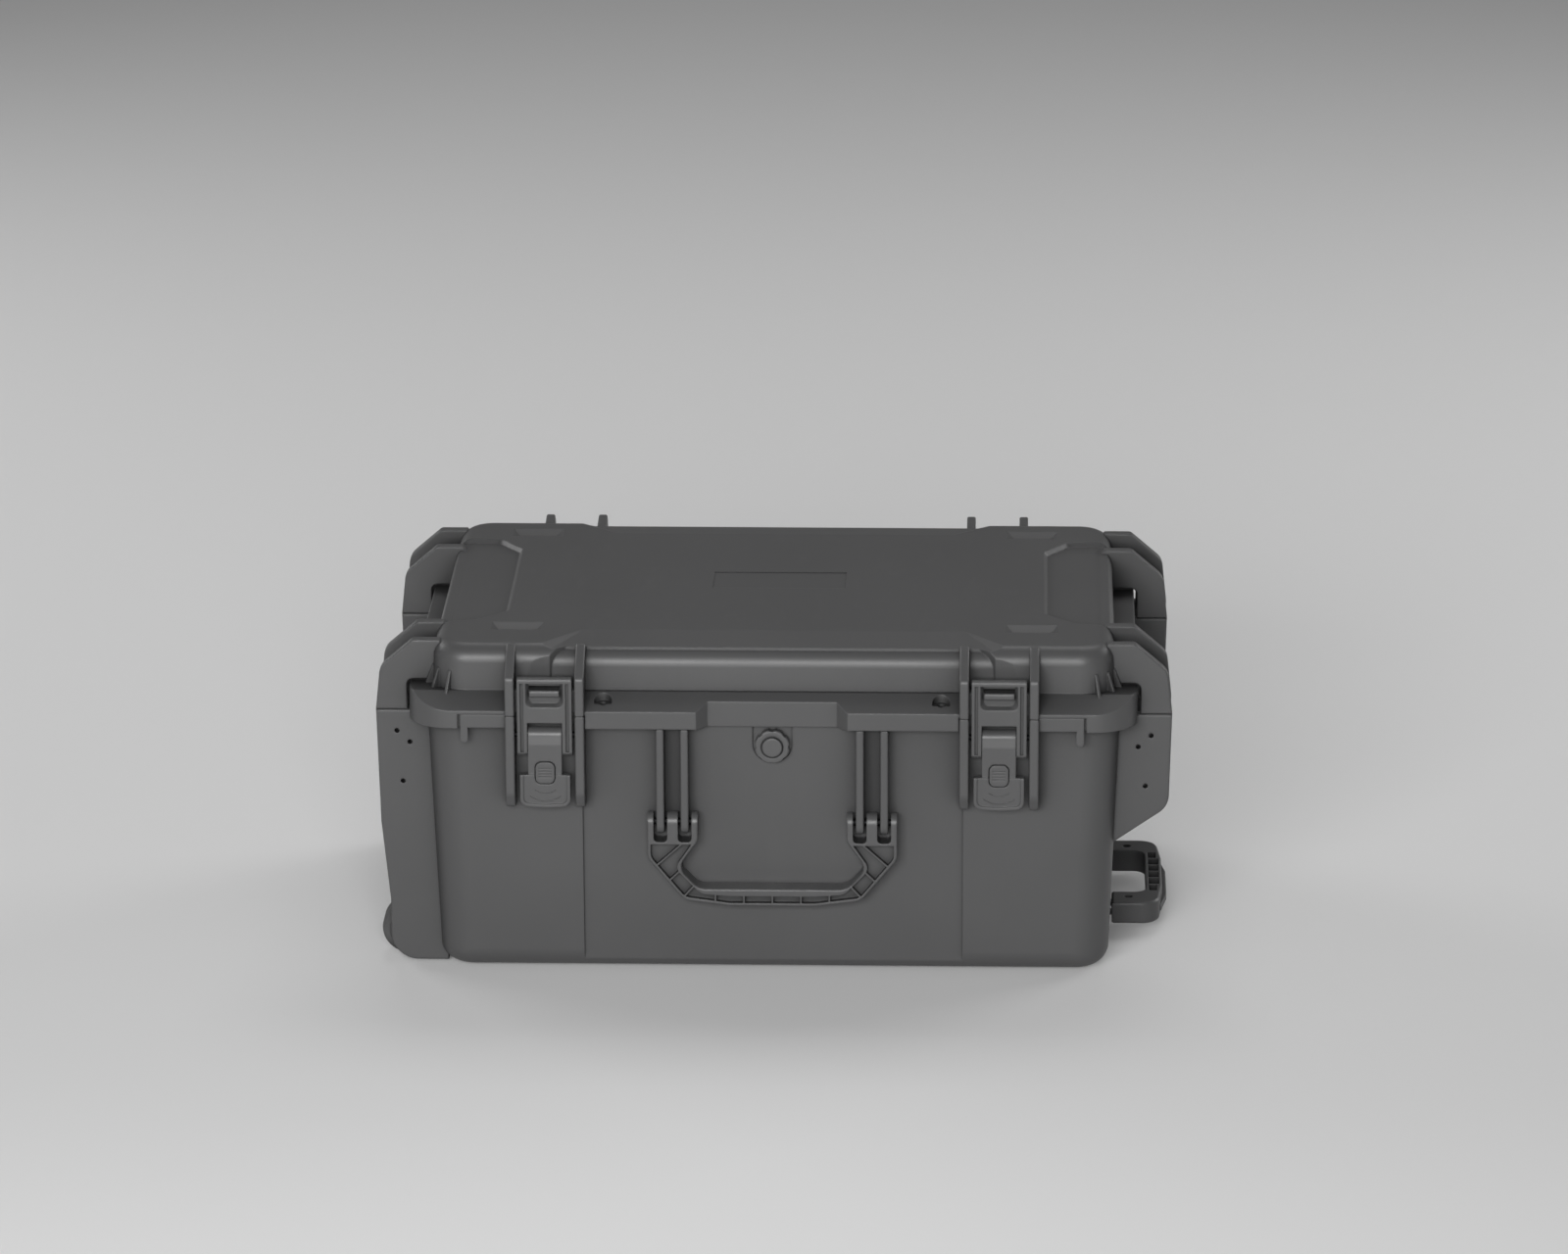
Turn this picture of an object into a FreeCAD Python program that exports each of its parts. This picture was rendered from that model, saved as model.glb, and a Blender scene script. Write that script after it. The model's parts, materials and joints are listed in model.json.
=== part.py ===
import FreeCAD, Part
import os
import Sketcher
from FreeCAD import Placement, Rotation, Vector

# A wheeled protective case. Millimetres, +Z up, origin under the middle of the case on the ground.
# -Y is the front with the latches, +Y the hinges, -X the wheels and +X the pull-out handle.

DOC = FreeCAD.newDocument("wheeled_case")

SIZES = (
    # Whole case
    ("fin_reach", 279.5, "half length over the side plates"),
    ("rib_front", 175.5, "half depth over the latch and hinge ribs"),
    ("foot_height", 2.0, "height of the moulded feet"),
    ("foot_length", 37.0, "foot along X"),
    ("foot_width", 22.0, "foot along Y"),
    ("foot_x", "=fin_reach - 98.5", "foot and stacking pocket centre"),
    ("foot_front_y", "=rib_front - 71", "front foot and pocket centre"),
    ("foot_back_y", "=rib_front - 54.5", "back foot and pocket centre"),
    ("parting", 196.5, "height where lid and base meet"),
    ("parting_gap", 0.4, "air between lid and base"),
    # Tub
    ("tub_bottom_x", "=fin_reach - 43.5", "half length of the tub at its floor"),
    ("tub_top_x", "=fin_reach - 36.5", "half length of the tub at its rim"),
    ("tub_bottom_y", "=rib_front - 20.5", "half depth of the tub at its floor"),
    ("tub_top_y", "=rib_front - 15.5", "half depth of the tub at its rim"),
    ("tub_corner", 24.0, "upright corner radius"),
    ("tub_edge", 15.0, "radius under the floor's edge"),
    ("wall", 5.0, "wall of the tub"),
    ("panel_x", "=fin_reach - 146.1", "half width of the sunk front panel"),
    ("panel_step", 1.5, "depth of the sunk front panel"),
    ("flange_under", "=parting - 10", "underside of the base flange"),
    ("base_flange_x", "=fin_reach - 28.5", "half length of the base flange"),
    ("base_flange_front", "=rib_front - 7.5", "front of the base flange behind the skirts"),
    ("bare_flange_front", "=rib_front - 4.5", "front of the base flange beside the latches"),
    ("flange_back", "=rib_front - 7.5", "back of both flanges"),
    ("flange_corner", 26.0, "corner radius of the base flange"),
    ("hook_gap", 1.8, "slot between the bare flange and the corner skirt"),
    ("hook_width", 5.4, "cord hook along X"),
    ("hook_drop", 11.0, "cord hook below the flange"),
    ("hook_corner", 2.6, "corner radius of the cord hook"),
    # Lid
    ("lid_height", 44.5, "lid above the parting"),
    ("lid_top", "=parting + lid_height", "top of the lid"),
    ("lid_foot_x", "=fin_reach - 39.5", "half length of the lid at the roof"),
    ("lid_foot_y", "=rib_front - 19.5", "half depth of the lid at the roof"),
    ("lid_draft", 1.5, "how far the lid's walls lean in"),
    ("lid_corner", 24.0, "upright corner radius of the lid"),
    ("lid_edge", 12.0, "radius of the lid's upper edge"),
    ("lid_wall", 4.5, "wall of the lid"),
    ("core_inset", 2.4, "how far the sunk parts of the lid lie inside its outer form"),
    ("core_top", "=lid_top - 3", "floor of the lid's side recesses"),
    ("lid_ceiling", "=lid_top - 7", "height of the lid's inner ceiling"),
    ("roof_low", "=parting + 2.5", "height of the flange roof's outer edge"),
    ("roof_high", "=parting + 12.7", "height where the roof meets the lid's wall"),
    ("lid_flange_x", "=fin_reach - 24.5", "half length of the lid flange"),
    ("lid_flange_front", "=rib_front - 3.5", "front of the lid flange"),
    ("lid_flange_corner", 30.0, "corner radius of the lid flange"),
    ("skirt_low", "=parting - 10.3", "bottom of the lid's skirts"),
    ("skirt_wall", 3.0, "thickness of the skirts"),
    ("skirt_end_x", "=fin_reach - 149.3", "outer end of the front skirt"),
    ("corner_skirt_x", "=fin_reach - 60", "inner end of the corner skirts"),
    ("corner_skirt_y", "=rib_front - 36", "back end of the corner skirts"),
    ("bay_x", 45.0, "half width of the set-back part of the skirt"),
    ("bay_slant", 9.0, "slanted side of the set-back part"),
    ("bay_depth", 8.5, "set-back of the skirt at the middle"),
    ("seal_x", "=fin_reach - 39.5", "half length of the seal's middle line"),
    ("seal_y", "=rib_front - 18.5", "half depth of the seal's middle line"),
    ("seal_width", 3.2, "seal width"),
    ("seal_height", 4.0, "seal height"),
    ("seal_corner", 21.0, "corner radius of the seal's middle line"),
    ("side_recess_x", "=fin_reach - 90", "inner edge of the side recesses"),
    ("side_recess_front", "=rib_front - 105.5", "front end of the side recesses' inner edge"),
    ("side_recess_back", "=rib_front - 95.5", "back end of that edge"),
    ("brow_x", "=fin_reach - 130.5", "half width of the brow over the lid's sunk front"),
    ("brow_y", "=rib_front - 29.7", "edge of that brow from the middle"),
    ("ramp_front_y", "=rib_front - 63.5", "where the ramp to the brow starts"),
    ("ramp_back_y", "=rib_front - 55", "where the ramp at the back starts"),
    ("ramp_front_x", "=fin_reach - 151.5", "half width of the front ramp at its start"),
    ("ramp_back_x", "=fin_reach - 162", "half width of the back ramp at its start"),
    ("ramp_drop", 2.4, "how far the ramps fall"),
    ("pocket_depth", 3.5, "depth of the stacking pockets at their steep end"),
    ("plate_recess_x", 95.0, "bare name plate recess along X"),
    ("plate_recess_y", 38.0, "bare name plate recess along Y"),
    ("plate_recess_middle", 7.0, "centre of the name plate recess"),
    ("plate_recess_depth", 0.6, "depth of the name plate recess"),
    ("padlock_x", "=fin_reach - 161.5", "padlock hole from the middle"),
    ("padlock_y", "=rib_front - 12", "padlock hole from the middle"),
    ("padlock_radius", 3.0, "padlock hole"),
    ("padlock_spot", 6.2, "radius of the flat round the padlock hole"),
    ("padlock_rise", 3.9, "height of that flat above the roof's outer edge"),
    ("gusset", 2.2, "thickness of the corner gussets"),
    # Side plates
    ("fin_thick", 8.0, "plate thickness"),
    ("fin_outer_y", "=rib_front - 38.3", "outer face of the outer plates"),
    ("fin_inner_y", "=rib_front - 80.6", "outer face of the inner plates"),
    ("fin_split", "=parting - 7.8", "height where lid and base plates meet"),
    ("fin_bevel", 0.9, "bevel round the plates"),
    ("fin_top_x", "=fin_reach - 26.5", "upper corner of a lid plate"),
    ("fin_shoulder_x", "=fin_reach - 3.3", "shoulder of a lid plate"),
    ("fin_shoulder_z", "=lid_top - 21", "height of that shoulder"),
    ("fin_top", "=lid_top - 1", "top of a lid plate"),
    ("notch_x", "=fin_reach - 22.5", "outer side of the notch over the flange"),
    ("notch_top", "=parting + 14.5", "top of the notch over the flange"),
    ("fin_knee_x", "=fin_reach - 2.2", "wheel side plates at their upper knee"),
    ("fin_knee_z", "=parting - 91.5", "height of that knee"),
    ("fin_low_x", "=fin_reach - 7.9", "wheel side plates near the ground"),
    ("fin_low_z", 47.0, "where these plates become upright"),
    ("fin_low_corner", 19.0, "lower corner of the wheel side plates"),
    ("fin_right_x", "=fin_reach - 1.9", "handle side plates at their lower corner"),
    ("fin_right_z", "=parting - 76.2", "height of that lower corner"),
    ("fin_tip_z", "=parting - 108.5", "height where these plates run into the wall"),
    ("fin_right_corner", 16.0, "lower corner of the handle side plates"),
    ("fin_hole", 1.75, "radius of the holes in the outer plates"),
    # Latches
    ("latch_x", "=fin_reach - 121", "latch centre from the middle"),
    ("rib_offset", 24.4, "latch rib from the latch centre"),
    ("rib_width", 6.5, "latch rib thickness"),
    ("rib_soft", 0.8, "bevel on ribs"),
    ("lid_rib_knee", "=lid_top - 17", "where a lid rib starts to lean back"),
    ("lid_rib_tip", "=rib_front - 27.5", "front of a lid rib at its top"),
    ("base_rib_low", "=parting - 70", "bottom of a base latch rib"),
    ("lever_pivot_y", "=rib_front - 8", "lever pin from the middle"),
    ("lever_pivot_z", "=parting - 15.5", "lever pin height"),
    ("lever_pin", 2.0, "lever pin radius"),
    ("claw_pivot_y", "=rib_front - 6.9", "claw pin from the middle"),
    ("claw_pivot_z", "=parting - 27", "claw pin height"),
    ("claw_pin", 1.7, "claw pin radius"),
    ("tongue_half", 11.8, "half width of the lever's tongue"),
    ("tongue_front", "=rib_front - 1.7", "front of the tongue"),
    ("tongue_back", "=rib_front - 7.1", "back of the tongue"),
    ("lever_head", 5.5, "radius round the lever pin"),
    ("paddle_half", 17.7, "half width of the lever's paddle"),
    ("paddle_front", "=rib_front - 0.7", "front of the paddle"),
    ("paddle_back", "=rib_front - 6.1", "back of the paddle"),
    ("paddle_top", "=parting - 43.3", "top of the paddle"),
    ("paddle_low", "=parting - 67.7", "bottom of the paddle"),
    ("paddle_rim", 2.4, "rim round the paddle's face"),
    ("paddle_dish", 0.6, "depth of the paddle's face inside its rim"),
    ("claw_half", 19.15, "half width of the claw"),
    ("claw_front", "=rib_front - 2.2", "front of the claw"),
    ("claw_arm_back", "=rib_front - 5.4", "back of the claw's arms"),
    ("claw_head_back", "=rib_front - 9.1", "back of the claw's head"),
    ("claw_top", "=lid_top - 17.7", "top of the claw"),
    ("claw_mouth", "=parting - 5.6", "top of the opening round the tongue"),
    ("claw_boss", 3.4, "radius round the claw pin"),
    ("claw_groove_in", 3.3, "claw groove from the claw's side"),
    ("claw_groove_wide", 2.2, "claw groove width"),
    ("claw_groove_deep", 1.2, "claw groove depth"),
    ("finger_half", 13.3, "half width of the claw's finger recess"),
    ("finger_drop", 3.6, "bar above the finger recess"),
    ("finger_high", 17.4, "height of the finger recess"),
    ("finger_deep", 3.4, "depth of the finger recess"),
    ("finger_slant", 2.4, "how far the recess's walls lean in"),
    ("finger_slot", 2.5, "height of the dark slot in the recess"),
    ("finger_ledge", 5.4, "height of the rounded ledge under the slot"),
    ("button_half", 6.6, "half width of the lever's button"),
    ("button_low", "=parting - 49.5", "bottom of the button"),
    ("button_top", "=parting - 34.1", "top of the button"),
    ("button_corner", 4.0, "button corner radius"),
    ("button_front", "=rib_front - 1.1", "front of the button"),
    ("button_deep", 4.8, "button along Y"),
    ("button_gap", 0.6, "air round the button"),
    ("leaf_thick", 0.6, "leaf spring thickness"),
    ("leaf_half", 2.6, "half width of a leaf spring"),
    ("side_gap", 0.4, "air between pieces that slide past each other"),
    # Fits
    ("running", 0.06, "radial clearance of a turning fit"),
    ("seat", 0.02, "radial clearance of a fixed pin"),
    # Hinges at the back
    ("hinge_x", "=fin_reach - 124.1", "hinge centre from the middle"),
    ("hinge_y", "=rib_front - 6", "hinge axis from the middle"),
    ("hinge_lid_offset", 19.3, "lid hinge rib from the hinge centre"),
    ("hinge_base_offset", 12.2, "base hinge rib from the hinge centre"),
    ("hinge_rib", 6.3, "hinge rib thickness"),
    ("hinge_eye", 6.0, "radius of the hinge eyes"),
    ("hinge_pin", 2.5, "hinge pin radius"),
    ("hinge_air", 0.7, "air round the hinge eyes"),
    ("hinge_rib_low", "=parting - 70", "bottom of a base hinge rib"),
    # Front handle
    ("grip_arm_x", "=fin_reach / 4", "handle arm from the middle"),
    ("grip_pivot_y", "=rib_front - 11.3", "handle pin from the middle"),
    ("grip_pivot_z", "=parting - 80", "handle pin height"),
    ("grip_pin", 2.5, "handle pin radius"),
    ("grip_half_deep", 7.0, "half the depth of the handle"),
    ("grip_bar_back", 0.75, "how much deeper the handle is at its bar"),
    ("grip_arm_half", 17.65, "half width of the handle's finger group"),
    ("grip_slot_in", 3.7, "inner side of the finger slots"),
    ("grip_slot_out", 13.35, "outer side of the finger slots"),
    ("grip_slot_low", "=parting - 93.5", "bottom of the finger slots"),
    ("grip_low", "=parting - 141.5", "bottom of the handle"),
    ("grip_rim", 2.2, "rim round the handle's channel"),
    ("grip_channel", 4.0, "depth of the handle's channel"),
    ("grip_web", 1.2, "thin ribs across the handle's channel"),
    ("grip_web_pitch", 20.0, "distance between the ribs under the bar"),
    ("grip_bar_cell", 6.0, "height of the channel under the bar"),
    ("bracket_offset", 8.5, "bracket rib from the arm's middle"),
    ("bracket_width", 5.6, "bracket rib thickness"),
    ("bracket_front", "=rib_front - 4.5", "front of the bracket ribs"),
    ("bracket_low", "=parting - 88.2", "bottom of the bracket ribs"),
    # Pressure valve
    ("valve_z", "=parting - 24.8", "valve height"),
    ("valve_ring", 12.3, "radius of the valve's lobed ring"),
    ("valve_ring_front", "=rib_front - 10.3", "front of the ring"),
    ("valve_ring_back", "=rib_front - 16.1", "back of the ring"),
    ("valve_cap", 7.0, "radius of the valve's cap"),
    ("valve_shank", 6.0, "radius of the threaded shank"),
    ("valve_pocket", 1.2, "depth of the pocket round the valve"),
    ("valve_pocket_half", 13.9, "half width of that pocket"),
    # Wheels
    ("wheel_x", "=fin_reach - 19.2", "axle from the middle"),
    ("wheel_z", 20.0, "axle height"),
    ("wheel_radius", 19.0, "tyre radius"),
    ("wheel_width", 29.5, "tyre width"),
    ("rim_radius", 13.5, "hub radius under the tyre"),
    ("axle_radius", 4.0, "axle radius"),
    ("axle_depth", 5.0, "axle end in a plate"),
    ("washer_radius", 8.0, "axle washer radius"),
    ("well_air", 3.2, "air round the tyre"),
    # Pull-out handle
    ("recess_half", 72.0, "half width of the recess under the floor"),
    ("tube_y", "=recess_half - 17", "tubes from the middle"),
    ("tube_z", 16.0, "tube height"),
    ("outer_tube", 8.5, "outer tube radius"),
    ("tube_wall", 1.0, "tube wall"),
    ("middle_tube", 7.1, "middle tube radius"),
    ("inner_tube", 5.7, "inner tube radius"),
    ("tube_start", "=fin_reach - 117.5", "closed end of the outer tubes, towards the wheels"),
    ("tube_end", "=fin_reach - 53.5", "open end of the outer tubes"),
    ("tube_stagger", 5.0, "how far each tube ends inside the next"),
    ("bush_length", 26.0, "guide bush length"),
    ("recess_start", "=fin_reach - 107.5", "closed end of the recess, towards the wheels"),
    ("recess_top", 28.0, "top of the recess"),
    ("cover_thick", 3.0, "cover under the recess"),
    ("cover_gap", 0.5, "air round the cover"),
    ("cover_end", "=fin_reach - 49.5", "end of the cover at the open side"),
    ("block_length", 14.0, "tube block along X"),
    ("boss_radius", 5.0, "screw boss radius"),
    ("screw_radius", 1.7, "cover screw radius"),
    ("screw_head", 3.4, "cover screw head radius"),
    ("pull_half", "=recess_half - 4", "half width of the pull-out grip"),
    ("pull_low", 8.0, "bottom of the grip"),
    ("pull_top", 24.0, "top of the grip"),
    ("pull_start", "=fin_reach - 40", "inner end of the grip's arms"),
    ("pull_end", "=fin_reach - 3.5", "outer end of the grip's bar"),
    ("pull_hole_half", "=recess_half - 27", "half width of the finger hole"),
    ("pull_hole_end", "=fin_reach - 15", "outer end of the finger hole"),
    ("pull_screw_x", "=fin_reach - 28", "grip screw"),
    ("pull_screw", 3.0, "grip screw hole radius"),
    ("release_half", "=recess_half - 22", "half width of the release bar"),
    ("release_out", 3.3, "how far the release bar stands out"),
    ("release_travel", 2.5, "travel of the release bar"),
)


class Size:
    """A length: its value now, and the sheet expression that keeps it up to date."""

    def __init__(self, value, text):
        self.value = float(value)
        self.text = text

    def __add__(self, other):
        return join(self, "+", other)

    def __radd__(self, other):
        return join(other, "+", self)

    def __sub__(self, other):
        return join(self, "-", other)

    def __rsub__(self, other):
        return join(other, "-", self)

    def __mul__(self, other):
        return join(self, "*", other)

    def __rmul__(self, other):
        return join(other, "*", self)

    def __truediv__(self, other):
        return join(self, "/", other)

    def __neg__(self):
        return join(0.0, "-", self)


def size(number):
    """Any number as a Size."""
    if isinstance(number, Size):
        return number
    return Size(number, "(%r)" % float(number))


def join(left, sign, right):
    """The Size that an arithmetic sign makes of two numbers."""
    left = size(left)
    right = size(right)
    sums = {
        "+": lambda a, b: a + b,
        "-": lambda a, b: a - b,
        "*": lambda a, b: a * b,
        "/": lambda a, b: a / b,
    }
    value = sums[sign](left.value, right.value)
    return Size(value, "(%s %s %s)" % (left.text, sign, right.text))


class Sheet:
    """The driving dimensions, each a named cell."""

    def __init__(self, rows):
        self.sheet = DOC.addObject("Spreadsheet::Sheet", "sizes")
        for number, (name, value, words) in enumerate(rows, 1):
            self.sheet.set("A%d" % number, name)
            self.sheet.set("B%d" % number, str(value))
            self.sheet.setAlias("B%d" % number, name)
            self.sheet.set("C%d" % number, words)
        DOC.recompute()

    def __getattr__(self, name):
        return Size(self.sheet.get(name), "sizes." + name)


S = Sheet(SIZES)
PARTS = []

PLANES = {
    "xy": (Rotation(), Vector(0, 0, 1), "z"),
    "xz": (Rotation(Vector(1, 0, 0), 90), Vector(0, 1, 0), "y"),
    "yz": (Rotation(Vector(1, 1, 1), 120), Vector(1, 0, 0), "x"),
}
AXIS_TURN = {
    "x": Rotation(Vector(0, 1, 0), 90),
    "y": Rotation(Vector(1, 0, 0), -90),
    "z": Rotation(),
}


def bind(piece, name, length):
    """Ties one property of a piece to the sheet."""
    piece.setExpression(name, size(length).text)


def place(piece, x, y, z):
    """Ties a piece's position to the sheet."""
    for axis, length in zip("xyz", (x, y, z)):
        bind(piece, "Placement.Base." + axis, length)


def box(label, x, y, z):
    """A block between two corners."""
    piece = DOC.addObject("Part::Box", label)
    for side, (low, high) in zip(("Length", "Width", "Height"), (x, y, z)):
        bind(piece, side, high - low if isinstance(high, Size) else size(high) - low)
    place(piece, x[0], y[0], z[0])
    return piece


def rod(label, axis, u, v, span, radius):
    """A cylinder along one axis, centred on the other two."""
    piece = DOC.addObject("Part::Cylinder", label)
    piece.Placement = Placement(Vector(), AXIS_TURN[axis])
    bind(piece, "Radius", radius)
    bind(piece, "Height", size(span[1]) - span[0])
    spots = {"x": (span[0], u, v), "y": (u, span[0], v), "z": (u, v, span[0])}
    place(piece, *spots[axis])
    return piece


def drafted(label, z, low, high):
    """A block whose upper rectangle differs from its lower one. Each is x low, x high, y low, y high."""
    piece = DOC.addObject("Part::Wedge", label)
    piece.Placement = Placement(Vector(), Rotation(Vector(1, 0, 0), 90))
    bind(piece, "Ymin", z[0])
    bind(piece, "Ymax", z[1])
    for mark, (x_low, x_high, y_low, y_high) in (("", low), ("2", high)):
        bind(piece, "X%smin" % mark, x_low)
        bind(piece, "X%smax" % mark, x_high)
        bind(piece, "Z%smin" % mark, -size(y_high))
        bind(piece, "Z%smax" % mark, -size(y_low))
    return piece


def along(axis):
    """Picks the straight edges that run along an axis."""
    def rule(edge):
        if edge.Curve.TypeId != "Part::GeomLine":
            return False
        way = edge.tangentAt(edge.FirstParameter)
        return abs(getattr(way, axis)) > 0.9
    return rule


def level(axis, length):
    """Picks the edges that lie in a plane square to an axis."""
    here = size(length).value
    name = axis.upper()

    def rule(edge):
        bounds = edge.BoundBox
        low = getattr(bounds, name + "Min")
        high = getattr(bounds, name + "Max")
        return abs(low - here) < 0.01 and abs(high - here) < 0.01
    return rule


def both_rules(first, second):
    """Picks the edges that two rules agree on."""
    return lambda edge: first(edge) and second(edge)


def edge_feature(kind, label, base, picks):
    """A fillet or chamfer on the edges that each rule picks."""
    DOC.recompute()
    edges = []
    for number, edge in enumerate(base.Shape.Edges, 1):
        for rule, radius in picks:
            if rule(edge):
                edges.append((number, size(radius).value, size(radius).value))
                break
    if not edges:
        raise ValueError("no edge to work on " + label)
    piece = DOC.addObject(kind, label)
    piece.Base = base
    piece.Edges = edges
    return piece


def rounded(label, base, *picks):
    return edge_feature("Part::Fillet", label, base, picks)


def bevelled(label, base, *picks):
    return edge_feature("Part::Chamfer", label, base, picks)


def slab(label, x, y, z, corner, axis="z"):
    """A block with its four corners along one axis rounded."""
    return rounded(label, box(label + "_block", x, y, z), (along(axis), corner))


def outline_sketch(sketch, corners):
    """Draws a closed outline whose corners are tied to the sheet."""
    count = len(corners)
    points = [Vector(size(c[0]).value, size(c[1]).value, 0) for c in corners]
    for i in range(count):
        sketch.addGeometry(Part.LineSegment(points[i], points[(i + 1) % count]))
    for i in range(count):
        sketch.addConstraint(Sketcher.Constraint("Coincident", i, 2, (i + 1) % count, 1))
    for i, corner in enumerate(corners):
        for kind, length in zip(("DistanceX", "DistanceY"), corner):
            length = size(length)
            number = sketch.addConstraint(Sketcher.Constraint(kind, -1, 1, i, 1, length.value))
            sketch.setExpression("Constraints[%d]" % number, length.text)


def plate(label, plane, corners, span, bevel=None):
    """An outline given a thickness. A corner's third number is its radius, and bevel breaks the face edges."""
    turn, way, axis = PLANES[plane]
    sketch = DOC.addObject("Sketcher::SketchObject", label + "_outline")
    sketch.Placement = Placement(Vector(), turn)
    bind(sketch, "Placement.Base." + axis, span[0])
    outline_sketch(sketch, corners)
    piece = DOC.addObject("Part::Extrusion", label + "_flat")
    piece.Base = sketch
    piece.DirMode = "Custom"
    piece.Dir = way
    piece.Solid = True
    bind(piece, "LengthFwd", size(span[1]) - span[0])
    picks = []
    for corner in corners:
        if len(corner) == 3:
            picks.append((corner_edge(plane, corner), corner[2]))
    if picks:
        piece = rounded(label + "_round", piece, *picks)
    if bevel is not None:
        low = level(axis, span[0])
        high = level(axis, span[1])
        piece = bevelled(label + "_soft", piece, (low, bevel), (high, bevel))
    return piece


def corner_edge(plane, corner):
    """Picks the edge that stands on one corner of an outline."""
    names = plane

    def rule(edge):
        if len(edge.Vertexes) < 2:
            return False
        for vertex in edge.Vertexes:
            for name, length in zip(names, corner):
                if abs(getattr(vertex.Point, name) - size(length).value) > 0.01:
                    return False
        return True
    return rule


def fuse(label, pieces):
    piece = DOC.addObject("Part::MultiFuse", label)
    piece.Shapes = pieces
    return piece


def common(label, pieces):
    piece = DOC.addObject("Part::MultiCommon", label)
    piece.Shapes = pieces
    return piece


def cut(label, base, tools):
    """Takes the tools away from the base."""
    piece = DOC.addObject("Part::Cut", label)
    piece.Base = base
    piece.Tool = tools[0] if len(tools) == 1 else fuse(label + "_tools", tools)
    return piece


def mirror(piece, axis="x"):
    """The same piece on the other side of the middle plane."""
    other = DOC.addObject("Part::Mirroring", piece.Name + "_mirror")
    other.Source = piece
    other.Normal = Vector(1, 0, 0) if axis == "x" else Vector(0, 1, 0)
    return other


def pair(piece, axis="x"):
    return [piece, mirror(piece, axis)]


def four(piece):
    """A piece and its mirror images in both middle planes."""
    return pair(piece) + pair(mirror(piece, "y"))


def keep(label, piece):
    """Names a finished sub-part."""
    piece.Label = label
    PARTS.append(piece)
    return piece


def turned(label, axis, spot, profile):
    """A round piece turned about an axis from an outline of radius and distance along the axis."""
    body = DOC.addObject("PartDesign::Body", label)
    sketch = body.newObject("Sketcher::SketchObject", label + "_profile")
    planes = [f for f in body.Origin.OriginFeatures if f.Role == "XZ_Plane"]
    sketch.AttachmentSupport = [(planes[0], "")]
    sketch.MapMode = "FlatFace"
    outline_sketch(sketch, profile)
    turning = body.newObject("PartDesign::Revolution", label + "_turning")
    turning.Profile = sketch
    turning.ReferenceAxis = (sketch, ["V_Axis"])
    turning.Angle = 360.0
    body.Placement = Placement(Vector(), AXIS_TURN[axis])
    place(body, *spot)
    return body


def pin(label, axis, spot, length, radius, bevel=0.4):
    """A plain pin with broken ends, starting at a spot."""
    profile = [(0.0, 0.0), (radius - bevel, 0.0), (radius, bevel), (radius, size(length) - bevel),
               (radius - bevel, length), (0.0, length)]
    return turned(label, axis, spot, profile)


def tube(label, x, y, z, radius, bore):
    """A straight tube along X."""
    profile = [(bore, 0.0), (radius, 0.0), (radius, size(x[1]) - x[0]), (bore, size(x[1]) - x[0])]
    return turned(label, "x", (x[0], y, z), profile)


# Heights that several pieces share
BASE_TOP = S.parting - S.parting_gap / 2
LID_LOW = S.parting + S.parting_gap / 2
BASE_FIN_TOP = S.fin_split - S.parting_gap / 2
LID_FIN_LOW = S.fin_split + S.parting_gap / 2
FLOOR_UNDER = S.foot_height
TUB_RISE = S.parting - S.foot_height
HINGE_Z = S.parting
WELL_RADIUS = S.wheel_radius + S.well_air
FIN_GAP_OUT = S.fin_outer_y - S.fin_thick
COVER_TOP = S.foot_height + S.cover_thick
DEEP_IN = S.tub_bottom_y - 2 * S.wall


# Where a brow's slanted end starts, and its further corners as steps from there, sideways and outwards
BROW_START = 4.0
BROW_STEPS = ((6.6, 7.9), (10.0, 8.1), (22.0, 9.4), (27.0, 10.2), (27.0, 19.2))
# How far the ramps spread by the brow's edge, and how their sides lean
RAMP_SPREAD = 29.0
RAMP_LEAN = 3.4
# How far the pull-out grip's bar bows out, its corners, and the wall and ribs round its pockets
PULL_BOW = 3.5
PULL_CORNER = 13.0
PULL_SWEEP = 40.0
PULL_SHARE = 0.45
PULL_EDGE = 2.0
PULL_CELLS = 6
PULL_CELL_DEEP = 7.0
# The paddle's lower edge: how far its ends lie above its middle, its sweep and its corners
PADDLE_RISE = 1.3
PADDLE_SWEEP = 90.0
PADDLE_CORNER = 6.0
DISH_CORNER = 4.0
POCKET_FLOOR_HALF = 10.6
GUSSET_TURNS = (-13.0, -38.0, -65.0)


def front_wall(z):
    """How far forward the tub's front wall is at a height."""
    return S.tub_bottom_y + (S.tub_top_y - S.tub_bottom_y) * (size(z) - S.foot_height) / TUB_RISE


def base_fins():
    """The plates on both ends of the base: wheel side and handle side."""
    inside_x = S.tub_bottom_x - S.wall
    left = [(-S.fin_reach, BASE_FIN_TOP), (-S.fin_knee_x, S.fin_knee_z), (-S.fin_low_x, S.fin_low_z),
            (-S.fin_low_x, FLOOR_UNDER, S.fin_low_corner), (-inside_x, FLOOR_UNDER),
            (-inside_x, BASE_FIN_TOP)]
    right = [(S.fin_reach, BASE_FIN_TOP), (S.fin_right_x, S.fin_right_z, S.fin_right_corner),
             (inside_x, S.fin_tip_z),
             (inside_x, BASE_FIN_TOP)]
    plates = []
    for face in (S.fin_outer_y, S.fin_inner_y):
        for outline in (left, right):
            piece = plate("base_fin", "xz", outline, (-face, S.fin_thick - face), S.fin_bevel)
            plates += pair(piece, "y")
    return plates


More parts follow.
